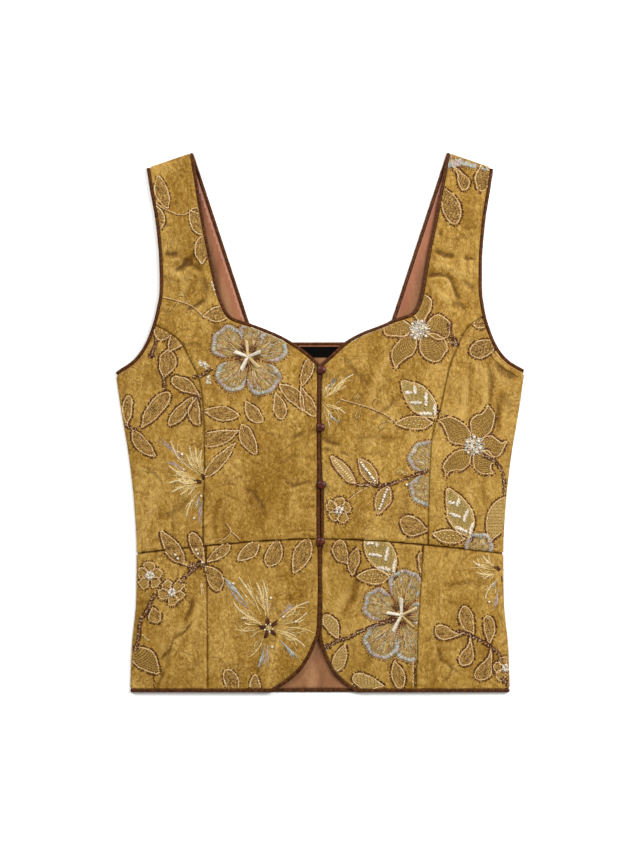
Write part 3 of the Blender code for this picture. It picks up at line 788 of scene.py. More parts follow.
clothSettings = {"pitch": 1.45, "wall": 0.8, "foldTop": 3.6}
for key, nodeName in panelNodes.items():
    side = "Left" if key.endswith("Left") else "Right"
    points, faces, onRim = clothGrid(key, clothSettings["pitch"])
    x, h = points.T
    up = clothTop(side, x, h)
    isFold = onRim & (rimKinds(key, points) == "fold")
    up[isFold] = np.minimum(up[isFold], clothSettings["foldTop"])
    # painted shade and highlight along the creases and crinkle, broad painted light and shade, and darker along the
    # seams, carried by the shade attribute
    tone = clothToneAndShading(side, x, h, creases)
    piece = newPiece(clothName(key), world(x, h, up), faces, satin, shade=tone)
    foldDown(piece.data, isFold)
    thicken(piece, clothSettings["wall"])
    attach(piece, "root")
    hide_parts(nodeName)
    print("cloth", key, len(piece.data.polygons), "faces")

# Back panels and lining: creases rise only, so the underside still rests level
backCreases = (
    (-60, 300, 80, 70, 5, 0.5), (52, 260, 96, 80, 5.5, 0.5), (0, 220, 90, 60, 4.5, 0.35),
    (-120, 240, 70, 60, 4.5, 0.5), (130, 210, 108, 60, 4.5, 0.45), (-150, 420, 20, 16, 3, 0.5),
    (148, 400, -24, 18, 3, 0.5), (-150, 470, -10, 14, 2.6, 0.4), (152, 462, 14, 15, 2.6, 0.4),
    (-90, 170, 12, 50, 4, 0.35), (84, 176, -10, 54, 4, 0.35), (-60, 80, 84, 50, 4.6, 0.45),
    (40, 70, 98, 50, 4.6, 0.4), (140, 60, 80, 46, 4.4, 0.4), (-150, 70, 100, 46, 4.4, 0.4),
)
backSettings = {"pitch": 3.0, "wall": 0.8, "floor": 0.06, "most": 0.45, "seam": 0.35, "seamReach": 1.5}
backSeam = denseOutline(flatOutlines["back"])
backSeam = backSeam[nearest(backSeam, *segments([flatOutlines["skirtBack"]]))[0] < edgeReach["sewn"]]
for key in ("back", "skirtBack"):
    points, faces, onRim = clothGrid(key, backSettings["pitch"])
    x, h = points.T
    away = nearest(points, backSeam, backSeam + 1e-6)[0]
    low = np.clip(creaseRise(x, h, backCreases) + 0.35 * crinkleRise(x, h), 0.0, backSettings["most"])
    low = backSettings["floor"] + low + backSettings["seam"] * bell(away / backSettings["seamReach"])
    # painted shade and highlight along the back's creases and crinkle, the tone turned over
    tone = 1.0 - clothToneAndShading("", x, h, backCreases)
    piece = newPiece(clothName(key), world(x, h, low), faces, satin, shade=tone)
    thicken(piece, backSettings["wall"], 1.0)
    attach(piece, "root")
    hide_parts(backNodes[key])
    print("cloth", key, len(piece.data.polygons), "faces")


def ringLine(nodeName):
    # middles of a solid binding's rings, from end to end
    bm = mergedMesh(nodeName)
    bm.verts.ensure_lookup_table()
    steps, frontier = {bm.verts[0]: 0}, [bm.verts[0]]
    for vert in frontier:                                        # grows while it is read
        for edge in vert.link_edges:
            other = edge.other_vert(vert)
            if other not in steps:
                steps[other] = steps[vert] + 1
                frontier.append(other)
    tip = max(steps, key=steps.get)
    ring = None
    for face in tip.link_faces:
        flat, stack = {face}, [face]
        while stack:
            for edge in stack.pop().edges:
                for other in edge.link_faces:
                    if other not in flat and other.normal.dot(face.normal) > 0.9995:
                        flat.add(other)
                        stack.append(other)
        corners = {v for f in flat for v in f.verts}
        if len(corners) == 8 and len(flat) == 6:
            ring = corners
    used, line = set(ring), []
    while ring:
        if len(ring) == 8:
            line.append(np.mean([planPlace(v) for v in ring], axis=0))
        ring = {e.other_vert(v) for v in ring for e in v.link_edges} - used
        used |= ring
    bm.free()
    return np.array(line)


# Lining: a duller, smoother rose satin with a pinker band along the neck; its soft streaks are painted sheen
liningSettings = {
    "pitch": 2.5, "wall": 0.8, "top": 2.42, "bandFrom": 4.7, "bandWide": 9.0, "bandAbove": 300,
    "tones": ((118, 73, 43), (155, 105, 67), (183, 133, 91)), "pink": (165, 92, 66),
    "Roughness": 0.42, "Specular IOR Level": 0.3,
}
liningCreases = (
    (-122, 440, 76, 60, 3.4, -0.45), (-108, 400, 80, 40, 2.6, 0.35), (118, 430, -76, 60, 3.4, -0.45),
    (104, 400, -74, 40, 2.6, 0.35), (-112, 420, 70, 50, 2, -0.3), (108, 452, -72, 46, 2.2, -0.3),
    (-6, 11, 2, 26, 1.4, 0.35), (4, 17, -3, 18, 1.2, -0.3), (-12, 5, 6, 20, 1.2, -0.25),
    (12, 24, -8, 14, 1.6, 0.3), (0, 38, 86, 16, 2, 0.2),
)
lining, tree, shader = newMaterial("roseLining", liningSettings)
# soft streaks stretched along the straps: painted sheen in the lining's colour
clouds = noiseAt(tree, objectPlace(tree, (1.0, 0.35, 1.0), 0.25), 46.0, 3.0, 0.5, 0.5)
grain = noiseAt(tree, objectPlace(tree, (1400.0, 240.0, 1.0)), 1.0, 2.0)


def threeTones(tree, value, settings, places):
    return ramp(tree, value, list(zip(places, settings["tones"])))


colour = threeTones(tree, scaled(tree, clouds, 0.75, times(tree, grain, 0.25)), liningSettings, (0.34, 0.5, 0.66))
pinkShare = times(tree, shadeOf(tree), 0.55)
tree.links.new(mixColour(tree, pinkShare, colour, liningSettings["pink"]), shader.inputs["Base Color"])
tree.links.new(scaled(tree, clouds, 0.25, 0.3), shader.inputs["Roughness"])
bump(tree, shader, clouds, 0.5, 0.002, bump(tree, shader, grain, 0.2, 0.0002))

points, faces, onRim = clothGrid("lining", liningSettings["pitch"])
x, h = points.T
top = liningSettings["top"] + np.clip(creaseRise(x, h, liningCreases) + 0.4 * crinkleRise(x, h), -0.5, 0.05)
neckLine = ringLine("binding_back_neck")[:, :2]
edgeAway = nearest(points, neckLine[:-1], neckLine[1:])[0]
pinkBand = smooth(1.0 - (edgeAway - liningSettings["bandFrom"]) / liningSettings["bandWide"])
pinkBand = pinkBand * (h > liningSettings["bandAbove"])
piece = newPiece("clothLining", world(x, h, top), faces, lining, shade=pinkBand)
thicken(piece, liningSettings["wall"])
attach(piece, "root")
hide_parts("back_lining")
print("back and lining laid")

# Bias binding: a puckered roll of brown satin that follows each solid binding's line; its lighter streaks along the
# roll are painted sheen
bindingSettings = {
    "halfWidth": 1.72, "halfHeight": 0.94, "step": 1.15, "corners": 12, "uvStep": 0.85, "lowest": 0.05,
    "pucker": 0.07, "slowStep": 4.3, "quickStep": 1.7, "squareWide": 0.72, "squareTall": 0.8,
    "underUp": 1.25, "underPast": 0.2,
    "tones": ((46, 16, 2), (80, 40, 6), (116, 66, 26)),
    "Roughness": 0.45, "Specular IOR Level": 0.1,
}
braid, tree, shader = newMaterial("brownBinding", bindingSettings)
rippleAndSheen = noiseAt(tree, uvPlace(tree, (0.35, 0.12, 1.0)), 1.0, 3.0, 0.6)
weave = weaveAt(tree, uvPlace(tree, turn=0.78), 1.1, 1.5, Detail=1.0)
# streaks along the roll: painted sheen in the colour, puckers in the roughness and bump
colour = threeTones(tree, scaled(tree, rippleAndSheen, 0.8, times(tree, weave, 0.2)), bindingSettings, (0.3, 0.52, 0.74))
tree.links.new(colour, shader.inputs["Base Color"])
tree.links.new(scaled(tree, rippleAndSheen, 0.3, 0.25), shader.inputs["Roughness"])
bump(tree, shader, rippleAndSheen, 0.5, 0.0005, bump(tree, shader, weave, 0.25, 0.00015))


def turnUnder(line):
    # both ends of a front roll go round the fold onto the back's roll
    for end in range(2):
        way = (line[-1] - line[-2])[:2]
        way /= np.linalg.norm(way)
        low = bindingSettings["underUp"]
        radius = (line[-1, 2] - low) / 2
        angle = np.radians((90.0, 45.0, 0.0, -45.0, -90.0))[:, None]
        along = bindingSettings["underPast"] - radius + radius * np.cos(angle)
        under = np.hstack([line[-1, :2] + way * along, low + radius + radius * np.sin(angle)])
        line = np.vstack([line[:-1], under])[::-1]
    return line


def levelAcross(way):
    # level directions across a line, carried past the places where it stands upright
    level = np.cross(way, (0.0, 0.0, 1.0))
    middle = len(way) // 2
    for walk in (range(middle, len(way)), range(middle, -1, -1)):
        last = level[middle]
        for i in walk:
            if np.linalg.norm(level[i]) < 0.3:
                level[i] = last
            level[i] *= 1.0 if level[i].dot(last) > 0 else -1.0
            last = level[i]
    return level / np.linalg.norm(level, axis=1)[:, None]


def makeRoll(name, line, seed):
    if "Back" not in name:
        line = turnUnder(line)
    line = curveThrough(line, bindingSettings["step"])
    count, corners = len(line), bindingSettings["corners"]
    way = np.gradient(line, axis=0)
    way /= np.linalg.norm(way, axis=1)[:, None]
    level = levelAcross(way)
    lift = np.cross(level, way)
    at = np.arange(count) * bindingSettings["step"]
    chance = np.random.default_rng(seed)

    def uneven(step, past):
        knots = np.arange(0.0, at[-1] + past, step)
        return np.interp(at, knots, chance.uniform(-1, 1, len(knots)))

    def squared(wave, power):
        return np.sign(wave) * np.abs(wave) ** bindingSettings[power]

    slow, quick = uneven(bindingSettings["slowStep"], 9.0), uneven(bindingSettings["quickStep"], 4.0)
    turn = np.arange(corners) * tau / corners + tau / corners / 2
    width = bindingSettings["halfWidth"] * (1.0 + bindingSettings["pucker"] * (0.5 * slow + 0.5 * quick))
    height = bindingSettings["halfHeight"] * (1.0 + bindingSettings["pucker"] * (0.8 * quick - 0.4 * slow))
    verts = line[:, None, :] + level[:, None, :] * (width[:, None] * squared(np.cos(turn), "squareWide"))[..., None]
    verts = verts + lift[:, None, :] * (height[:, None] * squared(np.sin(turn), "squareTall"))[..., None]
    verts[..., 2] = np.maximum(verts[..., 2], bindingSettings["lowest"])
    uv = np.stack([np.repeat(at, corners), np.tile(np.arange(corners) * bindingSettings["uvStep"], count)], axis=1)
    ring = np.arange(corners)
    step, following = np.arange(count - 1)[:, None] * corners, np.roll(ring, -1)
    faces = np.stack([step + ring, step + following, step + corners + following, step + corners + ring], axis=2)
    faces = [*faces.reshape(-1, 4), ring[::-1], ring + (count - 1) * corners]
    piece = newPiece(name, world(*verts.reshape(-1, 3).T), faces, braid, uv=uv)
    bm = bmesh.new()
    bm.from_mesh(piece.data)
    bmesh.ops.recalc_face_normals(bm, faces=bm.faces)
    bm.to_mesh(piece.data)
    bm.free()
    return piece


for number, nodeName in enumerate(sorted(n for n in frame["nodes"] if n.startswith("binding"))):
    name = "roll" + "".join(word.title() for word in nodeName.split("_")[1:])
    piece = makeRoll(name, ringLine(nodeName), 60 + number)
    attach(piece, "root")
    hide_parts(nodeName)
print("bindings rolled")

# Covered buttons: a dome of gathered satin, turned in at the back
buttonSettings = {
    "foot": 3.6, "footTall": 0.6, "corners": 34, "turn": 0.7,
    "gathers": 17, "gatherDepth": 0.16 / 4.7, "gatherRise": 0.10,
    "places": ((1.7, 332.0), (0.7, 272.7), (1.7, 213.9), (0.7, 155.5)),
    # radius and height of each ring of the dome above the foot
    "rings": ((4.35, 0.9), (4.75, 1.7), (4.7, 2.6), (4.3, 3.5), (3.6, 4.2), (2.6, 4.75), (1.4, 5.05), (0.5, 5.12)),
    "tones": ((40, 6, 2), (76, 24, 9), (116, 50, 28)),
    "Roughness": 0.36, "Specular IOR Level": 0.25,
}
covered, tree, shader = newMaterial("coveredButton", buttonSettings)
cloudy = noiseAt(tree, objectPlace(tree), 420.0, 3.0, 0.6)
tree.links.new(threeTones(tree, cloudy, buttonSettings, (0.3, 0.5, 0.72)), shader.inputs["Base Color"])
bump(tree, shader, noiseAt(tree, objectPlace(tree, (2600.0, 900.0, 900.0)), 1.0, 2.0), 0.3, 0.00015)

footUp, crownUp = (corner[2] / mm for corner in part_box("button_1"))
bpy.ops.object.select_all(action="DESELECT")
lastRadius, lastUp = buttonSettings["foot"], buttonSettings["footTall"]
bpy.ops.mesh.primitive_cylinder_add(vertices=buttonSettings["corners"], radius=lastRadius * mm, depth=lastUp * mm,
                                    location=(0.0, 0.0, (footUp + lastUp / 2) * mm))
master = bpy.context.object
master.name = "buttonMaster"
onlySelect(master)
bpy.ops.object.mode_set(mode="EDIT")
selectFaces(master.data, lambda face: face.normal.z > 0.9)
for ringRadius, ringUp in buttonSettings["rings"]:
    up = ringUp * (crownUp - footUp) / buttonSettings["rings"][-1][1]
    bpy.ops.mesh.extrude_region_move(TRANSFORM_OT_translate={"value": (0.0, 0.0, (up - lastUp) * mm)})
    bpy.ops.transform.resize(value=(ringRadius / lastRadius, ringRadius / lastRadius, 1.0),
                             center_override=(0.0, 0.0, (footUp + up) * mm))
    lastRadius, lastUp = ringRadius, up
bpy.ops.mesh.select_all(action="SELECT")
bpy.ops.mesh.normals_make_consistent(inside=False)
bpy.ops.object.mode_set(mode="OBJECT")
setPlace()
for vert in master.data.vertices:
    reach = math.hypot(vert.co.x, vert.co.y) / mm
    turn = math.atan2(vert.co.y, vert.co.x) * buttonSettings["gathers"]
    share = smooth((reach - 2.2) / 2.4)
    push = 1.0 + buttonSettings["gatherDepth"] * share * math.sin(turn + reach)
    vert.co.x *= push
    vert.co.y *= push
    vert.co.z += buttonSettings["gatherRise"] * mm * share * math.cos(turn) * (vert.co.z > (footUp + 1.0) * mm)
applied(master, "SUBSURF", levels=1, render_levels=1)
master.data.shade_smooth()
for number, (across, height) in enumerate(buttonSettings["places"], 1):
    onlySelect(master)
    bpy.ops.object.duplicate()
    button = bpy.context.object
    button.name = f"coveredButton{number}"
    button.data.materials.append(covered)
    button.rotation_euler.z = buttonSettings["turn"] * number
    button.location = (across * mm, (height - hemY) * mm, 0.0)
    setPlace()
    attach(button, "root")
    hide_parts(f"button_{number}")
bpy.data.objects.remove(master)
print("buttons covered")

# Neck label: a plain woven tape, left blank, with a closer-woven edge
labelSettings = {
    "cloth": (5, 4, 3), "thread": (13, 12, 11), "Roughness": 0.9, "Specular IOR Level": 0.05,
    "corner": 0.18, "edge": 0.7, "step": 0.2, "sunk": -0.12, "wave": 0.12,
}
tape, tree, shader = newMaterial("wovenTape", labelSettings)
ribs, picks = (weaveAt(tree, objectPlace(tree), scale, 0.6, way) for scale, way in ((900.0, "X"), (500.0, "Y")))
weave = times(tree, ribs, picks)
colour = ramp(tree, weave, [(0.2, labelSettings["cloth"]), (0.9, labelSettings["thread"])])
tree.links.new(colour, shader.inputs["Base Color"])
bump(tree, shader, weave, 0.4, 0.0002)
low, high = [np.array(c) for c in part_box("neck_label")]
bpy.ops.object.select_all(action="DESELECT")
bpy.ops.mesh.primitive_cube_add(size=1.0, location=(low + high) / 2.0)
label = bpy.context.object
label.name = "neckTape"
label.scale = high - low
setPlace()
bpy.ops.object.mode_set(mode="EDIT")
bpy.ops.mesh.select_all(action="SELECT")
bpy.ops.mesh.bevel(offset=labelSettings["corner"] * mm, segments=2)
selectFaces(label.data, lambda face: face.normal.z > 0.9 and face.calc_area() > 1e-5)
bpy.ops.mesh.inset(thickness=labelSettings["edge"] * mm, depth=0.0)
bpy.ops.mesh.inset(thickness=labelSettings["step"] * mm, depth=labelSettings["sunk"] * mm)
bpy.ops.mesh.subdivide(number_cuts=5)
bpy.ops.object.mode_set(mode="OBJECT")
for vert in label.data.vertices:
    if vert.co.z > (low[2] + high[2]) / 2.0:
        vert.co.z -= labelSettings["wave"] * mm * (0.5 + 0.5 * math.sin(vert.co.x * 330.0 + vert.co.y * 120.0))
label.data.shade_smooth()
label.data.materials.append(tape)
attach(label, "root")
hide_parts("neck_label")
print("label set")

# Embroidery: every stitch is a small raised grain of thread that lies on the cloth's form.
# Each thread has its colours from deep to light, and its gloss
threadSettings = {
    "cream": {"tones": ((208, 156, 96), (246, 206, 146), (255, 236, 194)), "Roughness": 0.5},
    "straw": {"tones": ((196, 158, 84), (230, 198, 128), (250, 230, 176)), "Roughness": 0.48},
    "oak": {"tones": ((46, 16, 3), (84, 38, 14), (122, 70, 36)), "Roughness": 0.55},
    "net": {"tones": ((92, 58, 14), (122, 84, 30), (150, 110, 50)), "Roughness": 0.55},
    "honey": {"tones": ((160, 124, 56), (198, 160, 86), (224, 192, 124)), "Roughness": 0.5},
    "white": {"tones": ((222, 198, 164), (245, 230, 204), (254, 248, 234)), "Roughness": 0.45},
    "mist": {"tones": ((140, 142, 128), (184, 186, 176), (222, 222, 214)), "Roughness": 0.45},
    "lilac": {"tones": ((148, 120, 112), (192, 168, 160), (226, 208, 202)), "Roughness": 0.45},
    "rose": {"tones": ((150, 84, 56), (192, 130, 98), (226, 178, 148)), "Roughness": 0.48},
}


def threadMaterial(name, settings):
    made, tree, shader = newMaterial(name + "Thread", {**settings, "Specular IOR Level": 0.2})
    grain = times(tree, noiseAt(tree, objectPlace(tree), 900.0, 2.0), 0.3)
    colour = threeTones(tree, scaled(tree, shadeOf(tree), 0.7, grain), settings, (0.12, 0.5, 0.9))
    tree.links.new(colour, shader.inputs["Base Color"])
    bump(tree, shader, noiseAt(tree, objectPlace(tree), 2600.0, 1.0), 0.35, 0.00015)
    return made


threadMaterials = {name: threadMaterial(name, settings) for name, settings in threadSettings.items()}
stitchBox = {name: [] for name in threadSettings}                # rows: ax, ah, bx, bh, width, rise, lift, side, tone
beadBox = {"pearl": [], "straw": [], "silver": []}               # rows: x, h, radius, lift, side
patchBox = {}                                                    # rows: points, faces, uv, side


def sideOf(panel):
    return 0.0 if panel.endswith("Left") else 1.0


# Stitches by their use: width, rise and lift, in millimetres
stitchForms = {
    "netDot": (0.9, 0.35, 0.22), "bar": (1.4, 0.9, 0.2), "barTip": (0.9, 0.9, 0.5), "besidePearl": (0.8, 0.4, 0.25),
    "leafRib": (1.5, 0.5, 0.25), "edging": (1.1, 0.55, 0.25), "fan": (0.74, 0.32, 0.16), "petalTooth": (1.35, 0.5, 0.1),
    "petalRim": (0.8, 0.45, 0.12), "shading": (0.95, 0.4, 0.2), "starArm": (1.3, 1.2, 0.3), "heart": (0.95, 0.6, 0.45),
    "bud": (1.05, 0.6, 0.5), "wedge": (1.5, 0.8, 0.2), "core": (0.8, 0.45, 0.2), "knot": (0.95, 0.6, 0.25),
    "cluster": (0.85, 0.6, 0.15),
}


def sew(thread, a, b, form, panel, tone=None):
    # stitches from places a to places b; only those that lie on the panel are kept
    width, rise, lift = stitchForms.get(form) if isinstance(form, str) else form
    a, b = np.atleast_2d(a).astype(float), np.atleast_2d(b).astype(float)
    count = len(a)
    if not count:
        return
    keep = isOn(panel, a) & isOn(panel, b)
    if panel.startswith("any"):
        keep &= isOn(panel, (a + b) / 2)
    tone = dice.uniform(0.1, 0.9, count) if tone is None else np.clip(tone + dice.uniform(-0.25, 0.25, count), 0, 1)
    wide = np.broadcast_to(width, count) * dice.uniform(0.88, 1.12, count)
    same = [np.full(count, value) for value in (rise, lift, sideOf(panel))]
    stitchBox[thread].append(np.column_stack([a, b, wide, *same, tone])[keep])


def bead(places, radius, panel, kind="pearl", lift=0.2):
    places = np.atleast_2d(places).astype(float)
    for x, h in places[isOn(panel, places)]:
        beadBox[kind].append((x, h, radius * dice.uniform(0.9, 1.1), lift, sideOf(panel)))


def wayOf(path):
    way = np.gradient(path, axis=0)
    return way / np.maximum(np.linalg.norm(way, axis=1), 1e-9)[:, None]


def leftOf(way):
    return np.stack([-way[:, 1], way[:, 0]], axis=1)


def runAlong(thread, path, panel, spacing=1.15, length=1.9, width=0.95, rise=0.6, lift=0.12, slant=10.0, shift=0.0,
             kept=1.0, loop=False, wander=0.1):
    # a line of stitches along a path; slant in degrees, shift to the left of the way
    line = curveThrough(path, spacing, loop)
    count, way = len(line), wayOf(line)
    turn = np.radians(slant * np.where(np.arange(count) % 2, 1, -1) + dice.normal(0, 5, count))[:, None]
    aim = way * np.cos(turn) + leftOf(way) * np.sin(turn)
    mid = line + leftOf(way) * (shift + dice.normal(0, wander, count))[:, None]
    half = aim * (length * dice.uniform(0.85, 1.15, count) / 2)[:, None]
    keep = dice.uniform(0, 1, count) < kept
    sew(thread, (mid - half)[keep], (mid + half)[keep], (width, rise, lift), panel)


def teethAlong(part, spacing=1.5, length=1.8, width=1.5, kept=0.86, thread="oak", gap=1.2):
    # short slanting stitches that stand off a motif's outline
    line = curveThrough(part.outline, spacing, loop=True)
    count, way = len(line), wayOf(line)
    out = leftOf(way)
    turn = dice.normal(0.5, 0.35, count)[:, None]
    aim = out * np.cos(turn) + way * np.sin(turn)
    foot = line + out * (gap + dice.normal(0, 0.15, count))[:, None]
    keep = dice.uniform(0, 1, count) < kept
    reach = (length * dice.uniform(0.7, 1.25, count))[:, None]
    sew(thread, foot[keep], (foot + aim * reach)[keep], (width, 0.5, 0.16), part.panel)


def rimLine(part, width=1.5):
    # the raised cream line round a motif: a chain of separate grains
    runAlong("cream", part.outline, part.panel, spacing=1.7, length=2.1, width=width * 1.15, rise=width * 0.6,
             slant=12, loop=True, wander=0.14)


# Outlines of a motif's parts, from foot to tip and back: share of the length, share of the half width
shapes = {
    "leaf": (
        (0, 0), (0.09, 0.26), (0.26, 0.7), (0.5, 1), (0.74, 0.94), (0.92, 0.56), (1, 0.06), (0.95, -0.48),
        (0.79, -0.88), (0.56, -1), (0.32, -0.74), (0.13, -0.32),
    ),
    "lens": (
        (0, 0), (0.06, 0.3), (0.2, 0.72), (0.44, 1), (0.68, 0.82), (0.88, 0.4), (1, 0), (0.9, -0.36),
        (0.7, -0.78), (0.46, -1), (0.22, -0.76), (0.07, -0.3),
    ),
    "drop": (
        (0, 0), (0.18, 0.16), (0.42, 0.5), (0.66, 0.94), (0.86, 0.9), (0.97, 0.5), (1, 0), (0.95, -0.5),
        (0.8, -0.9), (0.58, -0.85), (0.36, -0.42), (0.16, -0.14),
    ),
    "round": (
        (0.06, 0), (0.14, 0.34), (0.36, 0.84), (0.62, 1), (0.86, 0.78), (0.98, 0.3), (1, -0.25), (0.88, -0.76),
        (0.64, -1), (0.38, -0.86), (0.14, -0.36),
    ),
    "pointed": (
        (0.06, 0), (0.12, 0.34), (0.28, 0.86), (0.48, 1), (0.64, 0.8), (0.77, 0.44), (0.9, 0.26), (1.02, 0.34),
        (0.95, -0.1), (0.86, -0.6), (0.68, -0.98), (0.46, -1), (0.26, -0.76), (0.12, -0.34),
    ),
    "lobe": (
        (0.2, 0.08), (0.3, 0.4), (0.48, 0.82), (0.68, 1), (0.86, 0.84), (0.97, 0.42), (1, 0), (0.97, -0.42),
        (0.86, -0.84), (0.68, -1), (0.48, -0.82), (0.3, -0.4), (0.2, -0.08),
    ),
}


def shapeAt(kind, foot, tip, width, bow=0.0, wobble=0.35):
    # a motif part's outline in plan, and its own place along and across for the filling
    foot, tip = np.array(foot, float), np.array(tip, float)
    axis = tip - foot
    size = np.hypot(*axis)
    axis = axis / size
    across = sideWay(axis)
    shape = np.array(shapes[kind], float)
    local = shape * (size, width / 2.0)
    local += dice.normal(0, wobble, local.shape) * (np.abs(shape[:, 1:]) > 0.2)
    local[:, 1] += bow * size * np.sin(math.pi * np.clip(local[:, 0] / size, 0, 1))
    return foot + local[:, :1] * axis + local[:, 1:] * across, axis, across, size


def patch(kind, outline, foot, axis, across, panel):
    # a thin filling that lies on the cloth, kept inside its panel
    edge = turnedLeft(curveThrough(outline, 1.2, loop=True)[:-1])
    points, faces, onRim = cellGrid(edge, 1.3, panel)
    if not len(faces):
        return
    snap(points, onRim, *segments([edge] + [flatOutlines[key] for key in panelsOf(panel)]))
    uv = np.stack([(points - foot) @ axis, (points - foot) @ across], axis=1)
    patchBox.setdefault(kind, []).append((points, faces, uv, sideOf(panel)))


def motifPart(kind, foot, tip, width, panel, filling, bow=0.0, wobble=0.35, root=None):
    # one filled part of a motif, with all that its threads need to know of it
    outline, axis, across, size = shapeAt(kind, foot, tip, width, bow, wobble)
    foot = np.array(foot if root is None else root)
    patch(filling, outline, foot, axis, across, panel)
    edge = curveThrough(outline, 1.0, loop=True)[:-1]
    return SimpleNamespace(outline=outline, edge=edge, foot=foot, axis=axis, across=across, size=size, panel=panel)


def aimAt(part, slope):
    turn = math.radians(slope)
    return part.axis * math.cos(turn) + part.across * math.sin(turn)


def chord(part, start, aim):
    # where a line from the given place crosses a part's outline: its two ends, or none
    height = (part.edge - start) @ sideWay(aim)
    run = (part.edge - start) @ aim
    crossing = np.flatnonzero((height > 0) != (np.roll(height, -1) > 0))
    if len(crossing) < 2:
        return None
    nextOne = (crossing + 1) % len(run)
    share = height[crossing] / (height[crossing] - height[nextOne])
    at = run[crossing] + share * (run[nextOne] - run[crossing])
    return start + aim * at.min(), start + aim * at.max()


def hatch(part, thread, spacing, slope, width, gap=0.14, piece=3.2, tone=None, bow=0.0, ahead=0.0):
    # thread lines side by side across an outline, bowed towards its tip and cut into stitches
    aim = aimAt(part, slope)
    step = spacing / max(0.2, abs(math.sin(math.radians(slope))))
    for offset in np.arange(-0.4 * part.size, 1.4 * part.size, step):
        ends = chord(part, part.foot + part.axis * ahead + part.axis * (offset + dice.normal(0, 0.08)), aim)
        length = 0.0 if ends is None else np.hypot(*(ends[1] - ends[0]))
        if length < 1.6:
            continue
        inset = 0.7 / length
        count = max(1, round(length / piece))
        cuts = np.linspace(inset, 1 - inset, count + 1)
        push = bow * length * part.axis
        a, b = (ends[0] + (ends[1] - ends[0]) * at[:, None] + push * (at * (1.0 - at) * 4.0)[:, None]
                for at in (cuts[:-1], cuts[1:] - gap / count * 0.4))
        sew(thread, a, b, (width, 0.3, 0.16), part.panel, tone)


# What fills the ground of each kind of leaf, and the threads scattered over a net: thread, from which share to which
leafFillings = {"net": "netFilling", "thin": "netFilling", "hatch": "lineFilling", "pale": "paleFilling"}
netThreads = (("honey", 0.0, 0.30), ("net", 0.30, 0.58), ("oak", 0.58, 0.93), ("cream", 0.93, 1.0))
# The leaves of these panels have a broader rim and a fainter row of teeth
faintPanels = ("centreLeft", "skirtCentreLeft")


def leafMotif(foot, tip, width, kind, panel):
    form, bow = "drop", 0.12
    if not kind.startswith("drop"):
        form, bow = dice.choice(["leaf", "lens"], p=[0.72, 0.28]), dice.uniform(-0.09, 0.09)
    kind = kind.replace("drop", "")
    part = motifPart(form, foot, tip, width, panel, leafFillings[kind], bow)
    axis, across, size = part.axis, part.across, part.size
    if kind in ("net", "thin"):
        dots = dice.uniform(-1, 1, (int(size * width * 0.34), 2)) * (size / 2, width / 2) + (size / 2, 0)
        spots = part.foot + dots[:, :1] * axis + dots[:, 1:] * across
        spots = spots[inside(spots, part.edge)]
        reach = axis * dice.normal(0.5, 0.5, (len(spots), 1)) + across * dice.normal(0, 0.55, (len(spots), 1))
        for thread, low, high in netThreads:
            some = slice(int(low * len(spots)), int(high * len(spots)))
            sew(thread, spots[some], (spots + reach)[some], "netDot", panel)
        if panel.endswith("Right") and foot[1] > 300.0:
            for slope in (52.0, -48.0):
                hatch(part, "net", 3.0, slope, 0.58, tone=0.1)
    elif kind == "hatch":
        hatch(part, "net", 2.4, 72.0, 1.1, tone=0.1, bow=0.12)
        hatch(part, "honey", 4.8, 72.0, 0.8, tone=0.2, bow=0.12, ahead=1.2)
    else:
        hatch(part, "honey", 2.0, 62.0, 0.95, tone=0.75)
        hatch(part, "net", 3.4, -66.0, 0.7)
    faint = panel in faintPanels
    rimLine(part, 1.0 if kind == "thin" else 1.5 if faint else 1.28)
    spacing, length, kept = (1.5, 1.4, 0.7) if faint else (1.4, 2.1, 0.92)
    teethAlong(part, spacing, length, kept=kept, gap=1.0)


def barMotif(foot, tip, width, panel):
    part = motifPart("lens", foot, tip, width, panel, "oliveFilling")
    hatch(part, "honey", 2.6, 44.0, 0.8, tone=0.3)
    hatch(part, "net", 4.4, -44.0, 0.6, gap=0.6)
    rimLine(part)
    runAlong("straw", part.outline, panel, loop=True, width=0.9, rise=0.45, shift=-1.5, kept=0.8, slant=30)
    teethAlong(part)
    for share, way in ((0.1, 1), (0.04, -1), (0.4, 1), (0.3, -1), (0.68, 1), (0.62, -1)):
        aim = aimAt(part, 44.0 * way)
        root = part.foot + part.axis * (share * part.size)
        ends = chord(part, root, aim)
        if ends is None:
            continue
        start = root + aim * 1.2
        length = np.hypot(*(ends[1] - start)) * (0.82 - 0.16 * share)
        thick = 5.4 * (1.0 - 0.2 * share)
        count = max(4, int(length / 0.75))
        places = start + aim * (np.linspace(0, length, count))[:, None]
        lean = sideWay(aim) * math.cos(0.5) + aim * math.sin(0.5)
        taper = np.sin(math.pi * np.linspace(0.12, 0.88, count)) ** 0.4
        ragged = dice.uniform(0.7, 1.2, (2, count)) * (1.0 + 0.5 * (share > 0.6) * np.linspace(-0.2, 1.0, count))
        places = places + sideWay(aim) * dice.normal(0, 0.25, (count, 1))
        half = lean * (thick / 2 * taper)[:, None]
        sew("white", places - half * ragged[0][:, None], places + half * ragged[1][:, None], "bar", panel, 0.75)
        sew("rose", (places - half)[::4], (places - half * 0.3)[::4], "barTip", panel, 0.9)
        bead(places[1::2] + dice.normal(0, 0.7, places[1::2].shape), 0.65, panel, "pearl", 0.9)


